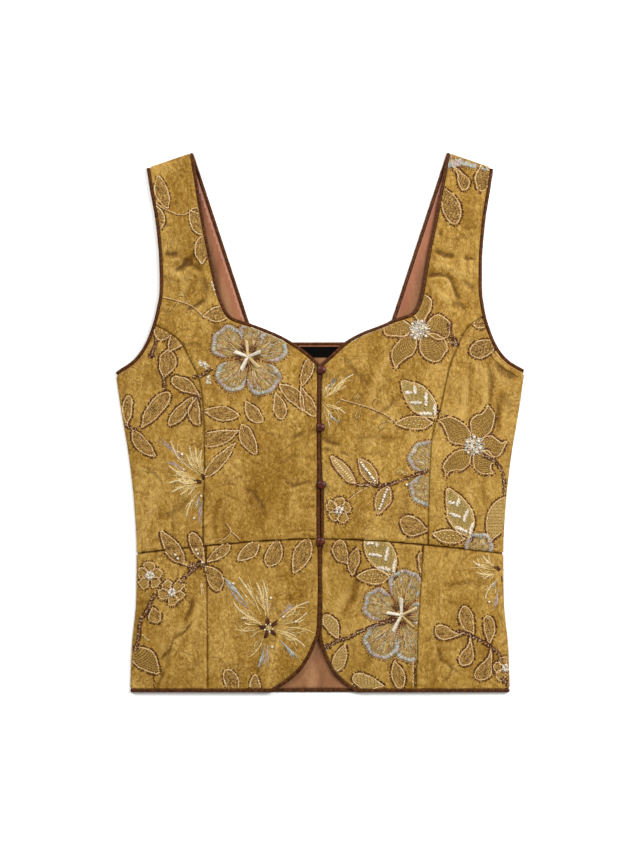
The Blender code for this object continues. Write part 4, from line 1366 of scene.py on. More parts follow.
def dottedMotif(foot, tip, width, panel):
    part = motifPart("lens", foot, tip, width, panel, "lineFilling")
    hatch(part, "net", 2.6, 76.0, 0.6)
    hatch(part, "honey", 2.4, -70.0, 0.7)
    rimLine(part)
    teethAlong(part)
    for away, low in ((1.9, 0.30), (-1.9, 0.24)):
        row = part.foot + part.axis * np.arange(low * part.size, 0.78 * part.size, 4.2)[:, None] + part.across * away
        bead(row + dice.normal(0, 0.35, row.shape), 0.8, panel, "straw", 0.35)


def pearlMotif(foot, tip, width, panel, pearls):
    # a leaf with a soft rose and brown rim, and a row of pearls down its middle where it has them
    part = motifPart("lens", foot, tip, width, panel, "lineFilling" if pearls else "paleFilling")
    hatch(part, "honey", 2.0, 60.0, 0.9, tone=None if pearls else 0.9)
    rimLine(part, 1.3)
    runAlong("rose", part.outline, panel, 2.2, 1.8, 1.1, slant=30, shift=1.2, kept=0.8, loop=True)
    teethAlong(part)
    row = part.foot + part.axis * np.arange(0.12 * part.size, 0.88 * part.size, 2.6)[:, None]
    across, axis = part.across, part.axis
    if pearls:
        bead(row + dice.normal(0, 0.25, row.shape), 1.55, panel, "pearl", 0.5)
        # grey mist stitches on one side of each pearl: a painted shadow
        sew("mist", row + across * 1.9, row + across * 1.9 + axis * 2.0, "besidePearl", panel)
    else:
        sew("cream", row - across * 1.4, row + across * 1.6 + axis * 0.8, "leafRib", panel, 0.8)


def polar(angle, length):
    return np.array([math.cos(math.radians(angle)), math.sin(math.radians(angle))]) * length


# Threads of a big petal's inside, and how often each comes
fanThreads = {"honey": 0.36, "straw": 0.18, "net": 0.2, "mist": 0.14, "rose": 0.12}
heartThreads = {"mist": 0.36, "white": 0.36, "lilac": 0.07, "straw": 0.16, "oak": 0.05}
budThreads = {"lilac": 0.28, "white": 0.64, "mist": 0.08}


def anyThread(table, count=None):
    return dice.choice(list(table), count, p=list(table.values()))


def bigPetal(middle, number, angle, length, width, panel, bandWide):
    # a lobe edged in satin stitch, with a scalloped outline and a fan of threads
    outline, axis, across, size = shapeAt("lobe", middle, middle + polar(angle, length), width, 0.0, 0.25)
    edge = curveThrough(outline, 0.8, loop=True)[:-1]
    along = (edge - middle) @ axis / size
    way = wayOf(edge)
    inward = leftOf(way)
    half, steps = len(edge) // 2, np.arange(len(edge))
    if ((middle + axis * size * 0.6 - edge[half]) * inward[half]).sum() < 0:
        inward = -inward
    scallop = np.sin(steps * tau / 21.0 + number * 2.3)
    edge = edge - inward * (0.65 * scallop * smooth((along - 0.45) / 0.2))[:, None]
    patch("petalFilling", edge[::3], middle, axis, across, panel)
    bandDeep = bandWide * smooth((along - 0.34) / 0.3) * (0.95 + 0.12 * np.sin(steps * 0.35 + number))
    band = bandDeep > 0.9
    count = band.sum()
    lean = (inward + way * dice.normal(0.12, 0.12, (len(edge), 1)))[band]
    start = edge[band] - inward[band] * 0.3
    lilacShare = 0.5 + 0.3 * np.sin(np.arange(count) * 0.11 + number * 1.3) + dice.normal(0, 0.3, count)
    reach = bandDeep[band][:, None] * dice.uniform(0.65, 1.12, (count, 1))
    for thread, low, high in (("lilac", 0.6, 9.0), ("mist", -0.12, 0.6), ("white", -9.0, -0.12)):
        chosen = (lilacShare > low) & (lilacShare <= high)
        sew(thread, start[chosen], (start + lean * reach)[chosen], "edging", panel)
    line = edge[band][::2] + inward[band][::2] * bandDeep[band][::2, None] * 1.04
    runAlong("net", line, panel, width=0.6, rise=0.3, kept=0.75, slant=20)
    for fan in np.linspace(-1.0, 1.0, max(14, int(width / 0.72))):
        goal = middle + axis * size * (0.92 - 0.16 * fan ** 2) + across * width * 0.43 * fan
        root = middle + axis * size * 0.24 + across * width * 0.08 * fan
        cuts = np.concatenate([[dice.uniform(0.1, 0.34)], dice.uniform(0.35, 0.84, 5), [dice.uniform(0.86, 0.99)]])
        cuts = np.sort(cuts)[:, None]
        a = root + (goal - root) * cuts[:-1]
        b = root + (goal - root) * (cuts[1:] - 0.03)
        b = b + across * dice.normal(0, 0.35, (len(b), 1))
        for piece, thread in enumerate(anyThread(fanThreads, 6)):
            sew(thread, a[piece], b[piece], "fan", panel)
    foot = edge - inward * 0.9
    aim = (-inward * 0.8 + way * dice.normal(0.3, 0.4, len(edge))[:, None])
    for thread, step in (("oak", slice(number % 2, None, 3)), ("rose", slice(2, None, 6))):
        sew(thread, foot[step], (foot + aim * 1.8)[step], "petalTooth", panel)
    bits = np.flatnonzero(along < 0.62)[::3]
    sew("rose", edge[bits], edge[bits] + way[bits] * 1.6, "petalRim", panel)


def bigFlower(middle, petals, panel, arms, bandWide=5.2):
    # lobes edged in blue-grey satin stitch round a beaded star with brown shading between its arms
    middle = np.array(middle)
    for number, (angle, length, width) in enumerate(petals):
        bigPetal(middle, number, angle, length, width, panel, bandWide)
    for angle in np.arange(0.0, 360.0, 4.2) if arms else ():
        if min(abs((angle - arm[0] + 180.0) % 360.0 - 180.0) for arm in arms) < 14.0:
            continue
        start = middle + polar(angle + dice.normal(0, 3), dice.uniform(3.5, 8.0))
        end = middle + polar(angle + dice.normal(0, 3), dice.uniform(9.5, 17.0))
        sew("oak" if dice.uniform() < 0.7 else "net", start, end, "shading", panel)
    for angle, length, thick, thread in arms:
        aim = polar(angle, 1.0)
        count = int(length / 0.72)
        places = middle + aim * np.linspace(0.6, length, count)[:, None]
        lean = sideWay(aim) * math.cos(0.45) + aim * math.sin(0.45)
        half = lean * (thick * 1.08 * (0.7 + 0.3 * np.linspace(0, 1, count)))[:, None]
        sew(thread, places - half, places + half, "starArm", panel, 0.75)
        bead(places[1::2] + half[1::2] * 0.3, 0.8, panel, "pearl" if thread == "white" else "straw", 1.1)


def hatchedFlower(middle, petals, panel):
    middle = np.array(middle)
    for kind, angle, length, width, slope in petals:
        part = motifPart(kind, middle + polar(angle, 3.5), middle + polar(angle, length), width, panel, "lineFilling",
                         dice.uniform(-0.05, 0.05), root=middle)
        hatch(part, "honey", 2.1, slope, 0.9, tone=0.12, bow=0.2, piece=4.0)
        hatch(part, "net", 2.1, slope, 0.85, tone=0.42, bow=0.2, piece=4.0, ahead=1.05)
        part.outline = part.outline + dice.normal(0, 0.9 if kind == "round" else 0.5, part.outline.shape)
        rimLine(part, 1.3)
        teethAlong(part, spacing=1.4, gap=1.1, length=2.0)
        teethAlong(part, spacing=2.6, gap=2.2, thread="rose", kept=0.5, width=1.0)
    # silver heart: loose grey stitches with bright beads
    for angle in dice.uniform(0, 360, 190):
        start = middle + polar(angle, dice.uniform(0.5, 8.2))
        end = start + polar(angle + dice.normal(0, 30), dice.uniform(2.4, 5.0))
        sew(anyThread(heartThreads), start, end, "heart", panel, 0.6)
    for angle in np.arange(6) * 60.0 + dice.uniform(0, 40):
        bead(middle + polar(angle + dice.normal(0, 8), dice.uniform(6.0, 9.6)), 1.75, panel, "pearl", 0.9)
    for angle in dice.uniform(0, 360, 26):
        bead(middle + polar(angle, dice.uniform(0.5, 10.0)), 0.8, panel, "silver", 0.8)


def smallFlower(middle, radius, panel, turn):
    # five wavy petals in brown and cream round a white and lilac heart
    middle = np.array(middle)
    for number in range(5):
        angle = turn + 72.0 * number + dice.normal(0, 5)
        tip = middle + polar(angle, radius * dice.uniform(0.9, 1.1))
        part = motifPart("round", middle + polar(angle, 2.6), tip, radius * 0.76, panel, "lineFilling",
                         dice.uniform(-0.08, 0.08), 0.7, root=middle)
        hatch(part, "honey", 2.2, 14.0, 0.7, tone=0.3)
        rimLine(part, 1.2)
        for gap in (1.0, 1.9):
            teethAlong(part, spacing=1.7, gap=gap, length=1.5, width=1.2)
    for angle in dice.uniform(0, 360, 60):
        start = middle + polar(angle, dice.uniform(0.2, 3.0))
        thread = anyThread(budThreads)
        sew(thread, start, start + polar(angle, dice.uniform(1.6, 3.0)), "bud", panel, 0.9)
    bead([middle + polar(a, 2.8) for a in np.arange(5) * 72.0 + turn], 1.3, panel, "pearl", 0.8)


def rayStrokes(feather, length, bow, thick):
    # the strokes of one ray: where it starts and ends, its bow, how far it strays, its width
    if feather:
        return [(dice.uniform(0.4, 0.6), dice.uniform(0.75, 1.02), bow, away, thick * 0.5)
                for away in (-2.6, -1.5, -0.4, 0.7, 1.9)]
    strokes = [(0.26, 1.0, bow, 0.0, thick * 1.6)]
    if length > 16.0:
        strokes += [(0.42, dice.uniform(0.72, 0.85), -bow, dice.uniform(3.0, 5.5), thick * 1.2),
                    (0.52, dice.uniform(0.8, 0.95), bow, -dice.uniform(2.5, 5.0), thick * 1.1)]
        for away in (-7.0, 1.5, 7.5):
            low, high = dice.uniform(0.3, 0.5), dice.uniform(0.6, 0.98)
            strokes.append((low, high, bow * 0.5, away + dice.normal(0, 1.5), thick * 0.65))
    return strokes


def spray(middle, panel, wedges, rays):
    # a burst of feathery threads: tip across and height, thickness, and thread where it isn't straw
    middle = np.array(middle)
    for tipX, tipH, thick, *other in rays:
        thread = other[0] if other else "straw"
        way = np.array((tipX, tipH)) - middle
        length = np.hypot(*way)
        way = way / length
        side = sideWay(way)
        feather = thread in ("lilac", "rose", "mist")
        bow = dice.choice((-1.0, 1.0)) * dice.uniform(0.03, 0.1) * length * (0.35 if feather else 1.0)
        for low, high, bend, away, fat in rayStrokes(feather, length, bow, thick):
            share = np.linspace(0.0, 1.0, 5)[:, None]
            stray = bend * np.sin(math.pi * share) + away * share ** 1.5
            line = curveThrough(middle + way * length * (low + (high - low) * share) + side * stray, 1.9)
            more = (line[1:] - line[:-1]) * 0.2
            belly = 0.55 + 0.6 * np.sin(math.pi * np.linspace(0.1, 0.95, len(more)) ** 1.6)
            sew(thread, line[:-1] - more, line[1:] + more, (fat * belly, 0.5, 0.14), panel)
            if fat > 1.5:
                near = line[len(line) // 2:] + side * 0.6
                sew("white" if thread != "mist" else "lilac", near[:-1], near[1:], (fat * 0.5, 0.45, 0.25), panel)
    for angle in wedges:
        for spread in (-18.0, -9.0, 0.0, 9.0, 18.0):
            tip = middle + polar(angle + spread * 0.5, dice.uniform(8.5, 13.0))
            sew("oak", middle + polar(angle + spread * 1.2, 3.0), tip, "wedge", panel)
    if len(wedges) > 3:
        bead([middle + polar(a + 32.0, 4.3) for a in wedges], 1.15, panel, "pearl", 0.5)
        bead(middle, 1.1, panel, "straw", 0.5)
        for angle in np.arange(0, 360, 24):
            sew("straw", middle + polar(angle, 0.6), middle + polar(angle, 3.6), "core", panel)


# Lines of each kind of stem: thread, spacing, length, width, rise, lift, slant, shift, share kept
stemLines = {
    "rope": [(thread, spacing, 2.2, width, width * 0.6, 0.3, 42, shift, 0.86) for thread, spacing, shift, width in (
        ("oak", 1.9, 1.4, 1.7), ("oak", 1.9, -1.4, 1.7), ("oak", 3.6, 0.0, 1.4), ("rose", 2.7, 0.6, 1.3),
        ("cream", 3.5, -0.5, 1.2), ("lilac", 6.1, 0.3, 1.2))],
    "curl": [(thread, 1.6, 1.7, 0.7, 0.4, 0.12, 12, shift, 0.85) for thread, shift in (("net", 0.0), ("straw", 0.7))],
    "fine": [("cream", 1.5, 1.8, 1.15, 0.65, 0.12, 16, 0.0, 1.0), ("oak", 2.2, 1.8, 1.0, 0.45, 0.12, 34, -1.1, 0.85)],
}


def stem(kind, panel, path):
    for thread, *line in stemLines[kind]:
        runAlong(thread, path, panel, *line, wander=0.35 if kind == "rope" else 0.1)


# Leaves by panel and kind of filling: foot across and height, tip across and height, width
leafTable = (
    ("centreLeft", "net", (
        (-156.6, 499, -166.8, 531.5, 13.4), (-133.9, 495.9, -119.5, 472.3, 14.4),
        (-167.9, 500.1, -164.8, 475.3, 10.3), (-120.5, 470.2, -121.5, 441.4, 14.4),
        (-119.9, 386.8, -93.7, 389.9, 14.4), (-19.6, 315.1, -10.7, 343.5, 10.3),
        (-41.2, 316.7, -16.5, 289.9, 13.4), (-45.6, 307.5, -39.1, 281.7, 12.4),
        (-19.6, 313.6, -4.1, 284.8, 12.4), (-76.2, 299.2, -59.7, 278.6, 12.4),
        (-83.9, 284.8, -120, 289.9, 14.4),
    )),
    ("sideLeft", "net", (
        (-160.8, 324.3, -156.6, 352.1, 16.5), (-159.7, 385.7, -164.2, 363.1, 17.5),
        (-155.5, 350.7, -138, 369.3, 14.4), (-183.9, 272.9, -155.6, 308.3, 14.4),
        (-125.4, 307.5, -151.8, 323.4, 12.4), (-130.9, 303.3, -155, 275.5, 11.3),
        (-127.5, 303.3, -126.7, 275.7, 11.3), (-198.8, 274.5, -197.2, 305.1, 9.3),
        (-192.6, 269.3, -170, 243.6, 13.4),
    )),
    ("centreLeft", "net", (
        (-84.5, 269.3, -125.7, 258, 14.4), (-87.5, 256, -118.5, 222, 10.3), (-80.3, 275.5, -65.9, 245.7, 14.4),
    )),
    ("anyLeft", "net", ((-140.5, 132.4, -163, 165.7, 15), (-119.5, 133.4, -132.3, 164, 11.3))),
    ("skirtCentreLeft", "net", ((-115.9, 134.4, -93.2, 151.9, 10.3), (-63, 155, -84.5, 136.5, 13.4))),
    ("anyLeft", "net", ((-117.9, 129.3, -103.4, 105.6, 15.5),)),
    ("skirtSideLeft", "thin", ((-172.5, 87, -167.9, 72.1, 11.3),)),
    ("skirtSideLeft", "hatch", ((-197.8, 43.8, -166.3, 20.1, 20.6),)),
    ("skirtCentreLeft", "net", (
        (-86.5, -5.7, -96.5, 23.2, 14.4), (-65.9, -3.6, -67.2, 18, 10.3), (-43.3, 159.1, -53.6, 130.3, 15.5),
        (-11.3, 159.1, -26.8, 123.1, 17.5),
    )),
    ("centreRight", "dropnet", ((137.5, 541, 149.5, 517.6, 11.3),)),
    ("centreRight", "net", ((166.9, 545.4, 165.8, 516.5, 15.5), (126.7, 519.6, 140.1, 482.6, 17.5))),
    ("sideRight", "net", ((177.2, 385.7, 158.6, 378.5, 9.3), (182.3, 360, 155.5, 348.7, 17.5))),
    ("sideRight", "pale", ((174.1, 155, 195.7, 200.3, 24.7),)),
    ("centreRight", "net", ((111.2, 167.4, 82.9, 176.6, 17.5),)),
    ("skirtCentreRight", "thin", ((33, 121, 39.1, 148.8, 10.3), (28.3, 132.4, 18.5, 156, 14.4))),
    ("skirtCentreRight", "pale", (
        (18.5, 56.1, 4.6, 78.8, 12.4), (25.8, 48.9, 16.5, 22.1, 12.4), (64.9, 6.7, 34, 16, 14.4),
    )),
    ("skirtCentreRight", "net", ((77.2, 32.4, 83.4, 4.6, 12.4), (106.1, 116.9, 104, 143.7, 8.2))),
    ("skirtSideRight", "dropnet", ((146.1, 60.3, 119, 65.4, 14.4),)),
    ("skirtSideRight", "net", ((157.6, 60.3, 148.3, 88.6, 13.4), (174.6, 51, 172, 78.3, 10.8))),
    ("skirtSideRight", "dropnet", ((154.5, 56.1, 145.7, 28.4, 13.3), (176.1, 43.7, 161.7, 13.9, 14.4))),
)
# Leaves crossed by white bars, and their dotted companions: foot, tip, width, panel
barLeaves = (
    (119.5, 282.9, 84.5, 320.4, 24.7, "centreRight"), (154.5, 160.2, 131.8, 209.6, 24.7, "sideRight"),
    (76.2, 121, 46.4, 167.4, 26.8, "skirtCentreRight"),
)
dottedLeaves = (
    (115.4, 277.6, 78.3, 277.1, 13.4, "centreRight"), (148.3, 158.1, 116.4, 162.7, 13.4, "sideRight"),
    (71.1, 119, 38.1, 119, 15.5, "skirtCentreRight"),
)
# Leaves with a rose rim: foot, tip, width, panel, and whether pearls lie in them
pearlLeaves = (
    (35.6, 215.6, 11.5, 242.8, 10.4, "centreRight", False), (58.7, 214.8, 39.7, 240, 13.4, "centreRight", True),
    (70, 211.7, 59.6, 184, 15, "centreRight", True),
)
# Stems: kind, panel, and the points along each
stemTable = (
    ("fine", "centreLeft", (
        ((-168.5, 503.4), (-160.8, 498.2), (-148, 492.6), (-139.5, 491.8), (-134.3, 494.9), (-130.1, 498.2),
         (-124.9, 498.6)),
        ((-162.7, 407.4), (-146.3, 403.2), (-131.8, 397.6), (-120.5, 387.8)),
    )),
    ("rope", "anyLeft", (((-127.7, 128.2), (-139.1, 119.4), (-143.5, 113.8)),)),
    ("rope", "skirtSideLeft", (((-170.3, 101.5), (-177, 87), (-184.8, 72.6), (-187, 55.6), (-190.3, 43.4)),)),
    ("rope", "sideLeft", (
        ((-161.9, 326), (-160, 319.5), (-160.7, 312.4)),
        ((-168.5, 362), (-171.5, 353), (-175.5, 345.5)),
        ((-200, 275.5), (-196, 272.5), (-190, 270.5)),
    )),
    ("rope", "anyRight", (((132.6, 379), (134.2, 368.6), (139, 363.1), (140.6, 356.9)),)),
    ("fine", "centreRight", (
        ((21.3, 301.7), (34, 298.2), (47.8, 294.1), (59.7, 289.7), (68.3, 285.4), (76.8, 279.6)),
    )),
    ("rope", "centreRight", (
        ((112.8, 229.2), (98.3, 224), (85.5, 218.9), (72.6, 214.8), (59.7, 213), (51.3, 213.9), (38.1, 213.7)),
    )),
    ("fine", "centreRight", (((51.3, 212.2), (38.4, 205.5), (28.8, 197.7)),)),
    ("fine", "anyLeft", (((-141, 132.2), (-136.5, 130.8), (-130.5, 130.6)),)),
    ("fine", "centreRight", (((35.6, 215.6), (41.5, 213.4), (49, 213.4)),)),
    ("rope", "skirtCentreRight", (
        ((7.2, 47.9), (11.9, 48.4), (16.5, 53), (27.6, 55.5), (41.2, 62.9), (55.2, 68.5), (75.2, 74.7)),
    )),
    ("rope", "skirtSideRight", (
        ((142.1, 62.9), (155, 58.6), (166.1, 52.6), (174.7, 47.6), (183.1, 40.7), (186.4, 33.1)),
    )),
    ("rope", "sideRight", (((168.3, 243.9), (177, 239.9), (185.6, 231.2), (189.5, 219.4), (190.3, 203.6)),)),
    ("rope", "skirtSideRight", (((187.5, 15.1), (193.4, 7.4)),)),
    ("fine", "anyLeft", (
        ((-95.8, 173), (-91.7, 166.3), (-95.8, 160.2), (-103.5, 155)),
        ((-91.7, 165.3), (-87, 162.2), (-82.4, 157.1)),
    )),
    ("rope", "anyLeft", (((-130.2, 325), (-124, 325.4), (-118, 328.6), (-111.3, 333.4)),)),
    ("fine", "centreRight", (((139.6, 552), (139.1, 544.4), (137.9, 536.6)),)),
    ("curl", "centreRight", (
        ((43, 296.5), (40.5, 301), (37, 307.5), (35, 305), (38, 302), (41.5, 303.5)),
        ((43.5, 294.5), (39, 291), (35.5, 285), (37.5, 281.5), (41.5, 284.5), (42.5, 290)),
        ((57, 290.8), (54, 296), (56, 301.5), (60, 300.5), (58, 296.5)),
        ((77, 279), (66, 277.5), (60.5, 274), (62, 270.5), (66, 272.5)),
    )),
    ("curl", "centreLeft", (
        ((-146, 403.2), (-149.5, 398), (-153.5, 392.5), (-158, 391.5), (-156, 395.5)),
        ((-133, 398), (-138, 405), (-141, 412.5), (-145.5, 414), (-146.5, 409), (-142, 407.5)),
    )),
)
for panel, kind, rows in leafTable:
    for row in rows:
        leafMotif(row[0:2], row[2:4], row[4], kind, panel)
for sewLeaf, rows in ((barMotif, barLeaves), (dottedMotif, dottedLeaves), (pearlMotif, pearlLeaves)):
    for row in rows:
        sewLeaf(row[0:2], row[2:4], *row[4:])
for kind, panel, paths in stemTable:
    for path in paths:
        stem(kind, panel, path)
print("leaves and stems sewn")

# Big flowers: middle, petals (angle, length, width), panel, star arms (angle, length, thickness, thread),
# and how deep the edging is where it isn't the usual depth
starHigh = ((160, 14.5, 2.9, "white"), (22, 13.5, 2.5, "white"), (-117, 15, 2.8, "white"), (-45, 15, 2.3, "cream"),
            (95, 16, 2.0, "cream"))
starLow = ((90, 17.5, 2.5, "white"), (25, 17, 2.0, "cream"), (-45, 17, 2.1, "honey"), (-117, 18.5, 2.5, "white"),
           (170, 15, 2.6, "white"))
bigFlowers = (
    ((-74.2, 345.5), ((79, 38, 27), (145, 41, 35), (230, 41, 33), (305, 43, 36), (24, 42, 34)), "centreLeft", starHigh),
    ((126.7, 225.1), ((138, 41, 34), (222, 40, 33)), "centreRight", ()),
    ((163.8, 124.1), ((90, 40, 29),), "sideRight", ()),
    ((83.7, 79.4), ((156, 41, 34), (82, 47, 35), (-127, 51, 37), (-76, 49, 30), (5, 26, 24)), "skirtCentreRight",
     starLow),
    ((158.0, 575.0), ((-98.4, 35.0, 31.0),), "centreRight", (), 7.0),
    ((142.0, 570.0), ((-110.0, 31.5, 24.0),), "centreRight", (), 10.0),
    ((175.0, 570.0), ((-96.6, 32.5, 22.0),), "centreRight", (), 3.6),
)
# Hatched flowers: middle, petals (outline, angle, length, width, slope of the hatching), panel
hatchedFlowers = (
    ((102.0, 373.0), (("round", 80, 36, 14, 60), ("round", 5, 33, 23, 66), ("round", -50, 37, 25, 72),
                      ("pointed", -125, 45, 19, 62), ("round", 175, 37, 17, 80)), "centreRight"),
    ((158.8, 254.1), (("pointed", 67, 43, 22, 74), ("pointed", 0, 32, 20, 66), ("pointed", -62, 33, 22, 58),
                      ("pointed", -138, 42, 19, 62), ("pointed", 140, 44, 22, 64)), "sideRight"),
)
# Small flowers: middle, radius, panel, turn
smallFlowers = (
    ((-175.3, 120.4), 13.4, "skirtSideLeft", 20.0), ((-152.4, 103.1), 13.4, "skirtSideLeft", 50.0),
    ((19.6, 187.5), 13.4, "centreRight", 10.0), ((191.6, 25.2), 13.0, "skirtSideRight", 100.0),
)
for sewFlower, rows in ((bigFlower, bigFlowers), (hatchedFlower, hatchedFlowers), (smallFlower, smallFlowers)):
    for row in rows:
        sewFlower(*row)
print("flowers sewn")

# Sprays: middle, panel, dark wedges' angles, rays (tip across, tip height, thickness, thread where it isn't straw)
rightEdgeRays = (
    (167.9, 140.6, 1.1), (173, 136.5, 1, "honey"), (157.6, 135.4, 1.2), (160.7, 124.1, 1), (167.9, 116.9, 1.1),
    (170, 96.3, 1), (179.2, 83.9, 1.9, "lilac"), (176.1, 105.6, 1.4, "mist"),
)
sprayTable = (
    ((-118.9, 215.8), "sideLeft", (170, 100), (
        (-134.2, 253.9, 1), (-127.7, 251.8, 1.2), (-121.5, 249.8, 1), (-137, 244.6, 1), (-153.5, 259, 1.1),
        (-166.9, 262.1, 1.7, "lilac"), (-162, 240, 1.3, "lilac"), (-155.5, 233.3, 1.2), (-148.3, 226.1, 1),
        (-146.3, 218.9, 2), (-155.5, 215.8, 1), (-152.4, 206.5, 1.2), (-144.2, 203.4, 1),
        (-136, 203.4, 1.2, "honey"), (-138, 180.8, 1), (-128.8, 188, 1.3, "mist"),
        (-123.6, 170.5, 1.6, "lilac"),
    )),
    ((-52.8, 66.5), "skirtCentreLeft", (100, 175, -110, -50, 35), (
        (-103.5, 121, 2.8, "mist"), (-99, 112, 1.6, "lilac"), (-83.4, 119, 1.2), (-64.9, 112.8, 1.3),
        (-58.7, 115.9, 1), (-55.6, 96.3, 1.8, "honey"), (-27.8, 93.2, 1.9, "lilac"), (-11.3, 93.2, 1.1),
        (-13.4, 81.9, 1), (-6.2, 61.3, 0.9), (-15.5, 46.9, 1.2), (-24.7, 57.2, 1), (-24.7, 34.5, 2.2, "mist"),
        (-55.6, 28.3, 2.2, "lilac"), (-61.8, 22.1, 1.8, "mist"), (-74.2, 35.5, 0.8), (-72.1, 56.1, 1, "honey"),
        (-88.6, 65.4, 0.9), (-81.4, 76.7, 1.3), (-82.4, 85, 1), (-89.6, 94.2, 1),
    )),
    ((0.4, 300.2), "centreRight", (), (
        (34, 327, 1.1), (25.8, 320.8, 1), (16.5, 313.6, 1), (16.5, 326, 0.9, "mist"), (10.3, 316.7, 1),
        (25.8, 286.9, 1.1), (18.5, 276.6, 1.3, "mist"), (12.4, 282.7, 1), (14.4, 293, 0.9),
        (9.3, 272.4, 1, "honey"),
    )),
    ((187.5, 123.1), "sideRight", (135, -80), rightEdgeRays),
    ((187.5, 123.1), "skirtSideRight", (135, -80), rightEdgeRays),
)
for row in sprayTable:
    spray(*row)
# Single pearls: across and height
loosePearls = (
    (-142.1, 245.1), (-140.2, 229.4), (-129.6, 179.4), (-122.3, 202.1), (-89.2, 112.1), (-50.6, 97.3),
    (-37.7, 77.8), (-24.8, 73), (-49.2, 46.9), (163.2, 131.3), (174.1, 93.2), (-115.1, 324.2), (89.3, 213.9),
    (-118.5, 337.8), (-149, 141.6), (-146.3, 137.8), (-127.2, 146.8), (-125.6, 142.8), (-121.1, 133.9),
)
for place in loosePearls:
    bead(place, 1.5, "anyLeft" if place[0] < 0 else "anyRight", "pearl", 0.5)

# Knots of thread where stems meet: across, height, reach, panel
knots = (
    (-127.7, 130.5, 5.5, "anyLeft"), (-134.6, 129.8, 4, "anyLeft"), (-121, 131.2, 4.5, "anyLeft"),
    (-125, 304, 4.5, "anyLeft"), (137.5, 360, 7.5, "anyRight"), (-173, 347.6, 3.5, "sideLeft"),
    (120.5, 288, 5, "anyRight"), (156, 158, 4, "sideRight"), (77, 119, 4.5, "skirtCentreRight"),
    (7.5, 47, 4, "skirtCentreRight"),
)
for x, h, reach, panel in knots:
    for angle in dice.uniform(0, 360, int(reach * 12)):
        start = np.array((x, h)) + polar(angle, dice.uniform(0, reach * 0.8))
        thread = "oak" if dice.uniform() < 0.8 else "cream"
        sew(thread, start, start + polar(dice.uniform(0, 360), 1.9), "knot", panel)
# Loose clusters of stitches: start, end, thread, panel, width
clusters = (
    ((77.8, 229.2), (88.6, 225.1), "straw", "centreRight", 3.2),
    ((-125.6, 341), (-115.3, 335.3), "white", "centreLeft", 5.6),
    ((-115.8, 327), (-114.8, 318.5), "white", "centreLeft", 4.6),
    ((-121.1, 114.8), (-121.1, 101.5), "cream", "skirtSideLeft", 3),
    ((-184.8, 60.3), (-177.2, 54.6), "cream", "skirtSideLeft", 1),
    ((-171.4, 20.1), (-170.3, 3.6), "oak", "skirtSideLeft", 1),
    ((96.3, 37.6), (95.8, 7.7), "cream", "skirtCentreRight", 1.2),
    ((98, 37.6), (97.5, 7.7), "oak", "skirtCentreRight", 1.2),
    ((6.2, 217.8), (10.3, 208.6), "honey", "centreRight", 3),
    ((-112.5, 424), (-106, 409), "white", "centreLeft", 2.2),
)
for start, end, thread, panel, wide in clusters:
    start, end = np.array(start), np.array(end)
    length = np.hypot(*(end - start))
    way = (end - start) / length
    side = sideWay(way)
    count = int(length / 0.7 * max(1.0, wide / 1.6))
    places = start + (end - start) * dice.uniform(0, 1, count)[:, None]
    places = places + side * dice.uniform(-wide / 2, wide / 2, count)[:, None]
    turn = dice.normal(0, 0.35, count)[:, None]
    aim = way * np.cos(turn) + side * np.sin(turn)
    sew(thread, places, places + aim * 2.2, "cluster", panel)
# Thin lines of thread just inside the lower armholes: thread, panel, points along it
armholeLines = (
    ("rose", "anyLeft", ((-182.3, 345.6), (-190.0, 338.5), (-199.0, 332.5), (-208.6, 328.0))),
    ("rose", "anyRight", ((179.2, 350.7), (187.0, 342.0), (196.5, 334.5), (206.0, 329.1))),
    ("oak", "anyRight", ((176.5, 346.0), (184.8, 337.6), (194.5, 330.2), (204.0, 325.0))),
)
for thread, panel, path in armholeLines:
    runAlong(thread, path, panel, spacing=1.6, width=0.6, rise=0.4, slant=4)
print("sprays, beads and knots sewn")

# A stitch has eight corners: a tip at each end and a three-cornered ring near each.
# Each corner: share of the way along, share of the width across, share of the rise
stitchCorners = ((0.0, 0.0, -0.1), (0.2, 0.5, -0.3), (0.2, 0.0, 1.0), (0.2, -0.5, -0.3),
                 (0.8, 0.5, -0.3), (0.8, 0.0, 1.0), (0.8, -0.5, -0.3), (1.0, 0.0, -0.1))
stitchEnds = np.array([(0, 1, 2), (0, 2, 3), (0, 3, 1), (7, 5, 4), (7, 6, 5), (7, 4, 6)])
stitchSides = np.array([(1, 4, 5, 2), (2, 5, 6, 3), (3, 6, 4, 1)])
mostStitches = 12000                                             # in one piece


def frontTop(side, x, h):
    up = np.zeros(len(x))
    for number, word in enumerate(sides):
        chosen = side == number
        if chosen.any():
            up[chosen] = clothTop(word, x[chosen], h[chosen])
    return up


for thread, rows in stitchBox.items():
    rows = np.vstack(rows)
    for part, block in enumerate(blocks(rows, mostStitches), 1):
        a, b = rows[block, 0:2], rows[block, 2:4]
        wide, rise, lift, side, tone = rows[block, 4:].T
        across = leftOf((b - a) / np.maximum(np.hypot(*(b - a).T), 1e-6)[:, None])
        levels = {}
        corners = np.zeros((len(a), 8, 3))
        for corner, (share, cross, up) in enumerate(stitchCorners):
            spot = b if share == 1.0 else a + (b - a) * share
            if share not in levels:
                levels[share] = frontTop(side, *spot.T)
            corners[:, corner, :2] = spot + across * (cross * wide)[:, None]
            corners[:, corner, 2] = lift + rise * up + levels[share]
        base = np.arange(len(a))[:, None, None] * 8
        faces = [*(base + stitchEnds).reshape(-1, 3), *(base + stitchSides).reshape(-1, 4)]
        piece = newPiece(f"stitches{thread.title()}{part}", world(*corners.reshape(-1, 3).T), faces,
                         threadMaterials[thread], shade=np.repeat(tone, 8))
        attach(piece, "root")
        print("stitches", thread, len(a))

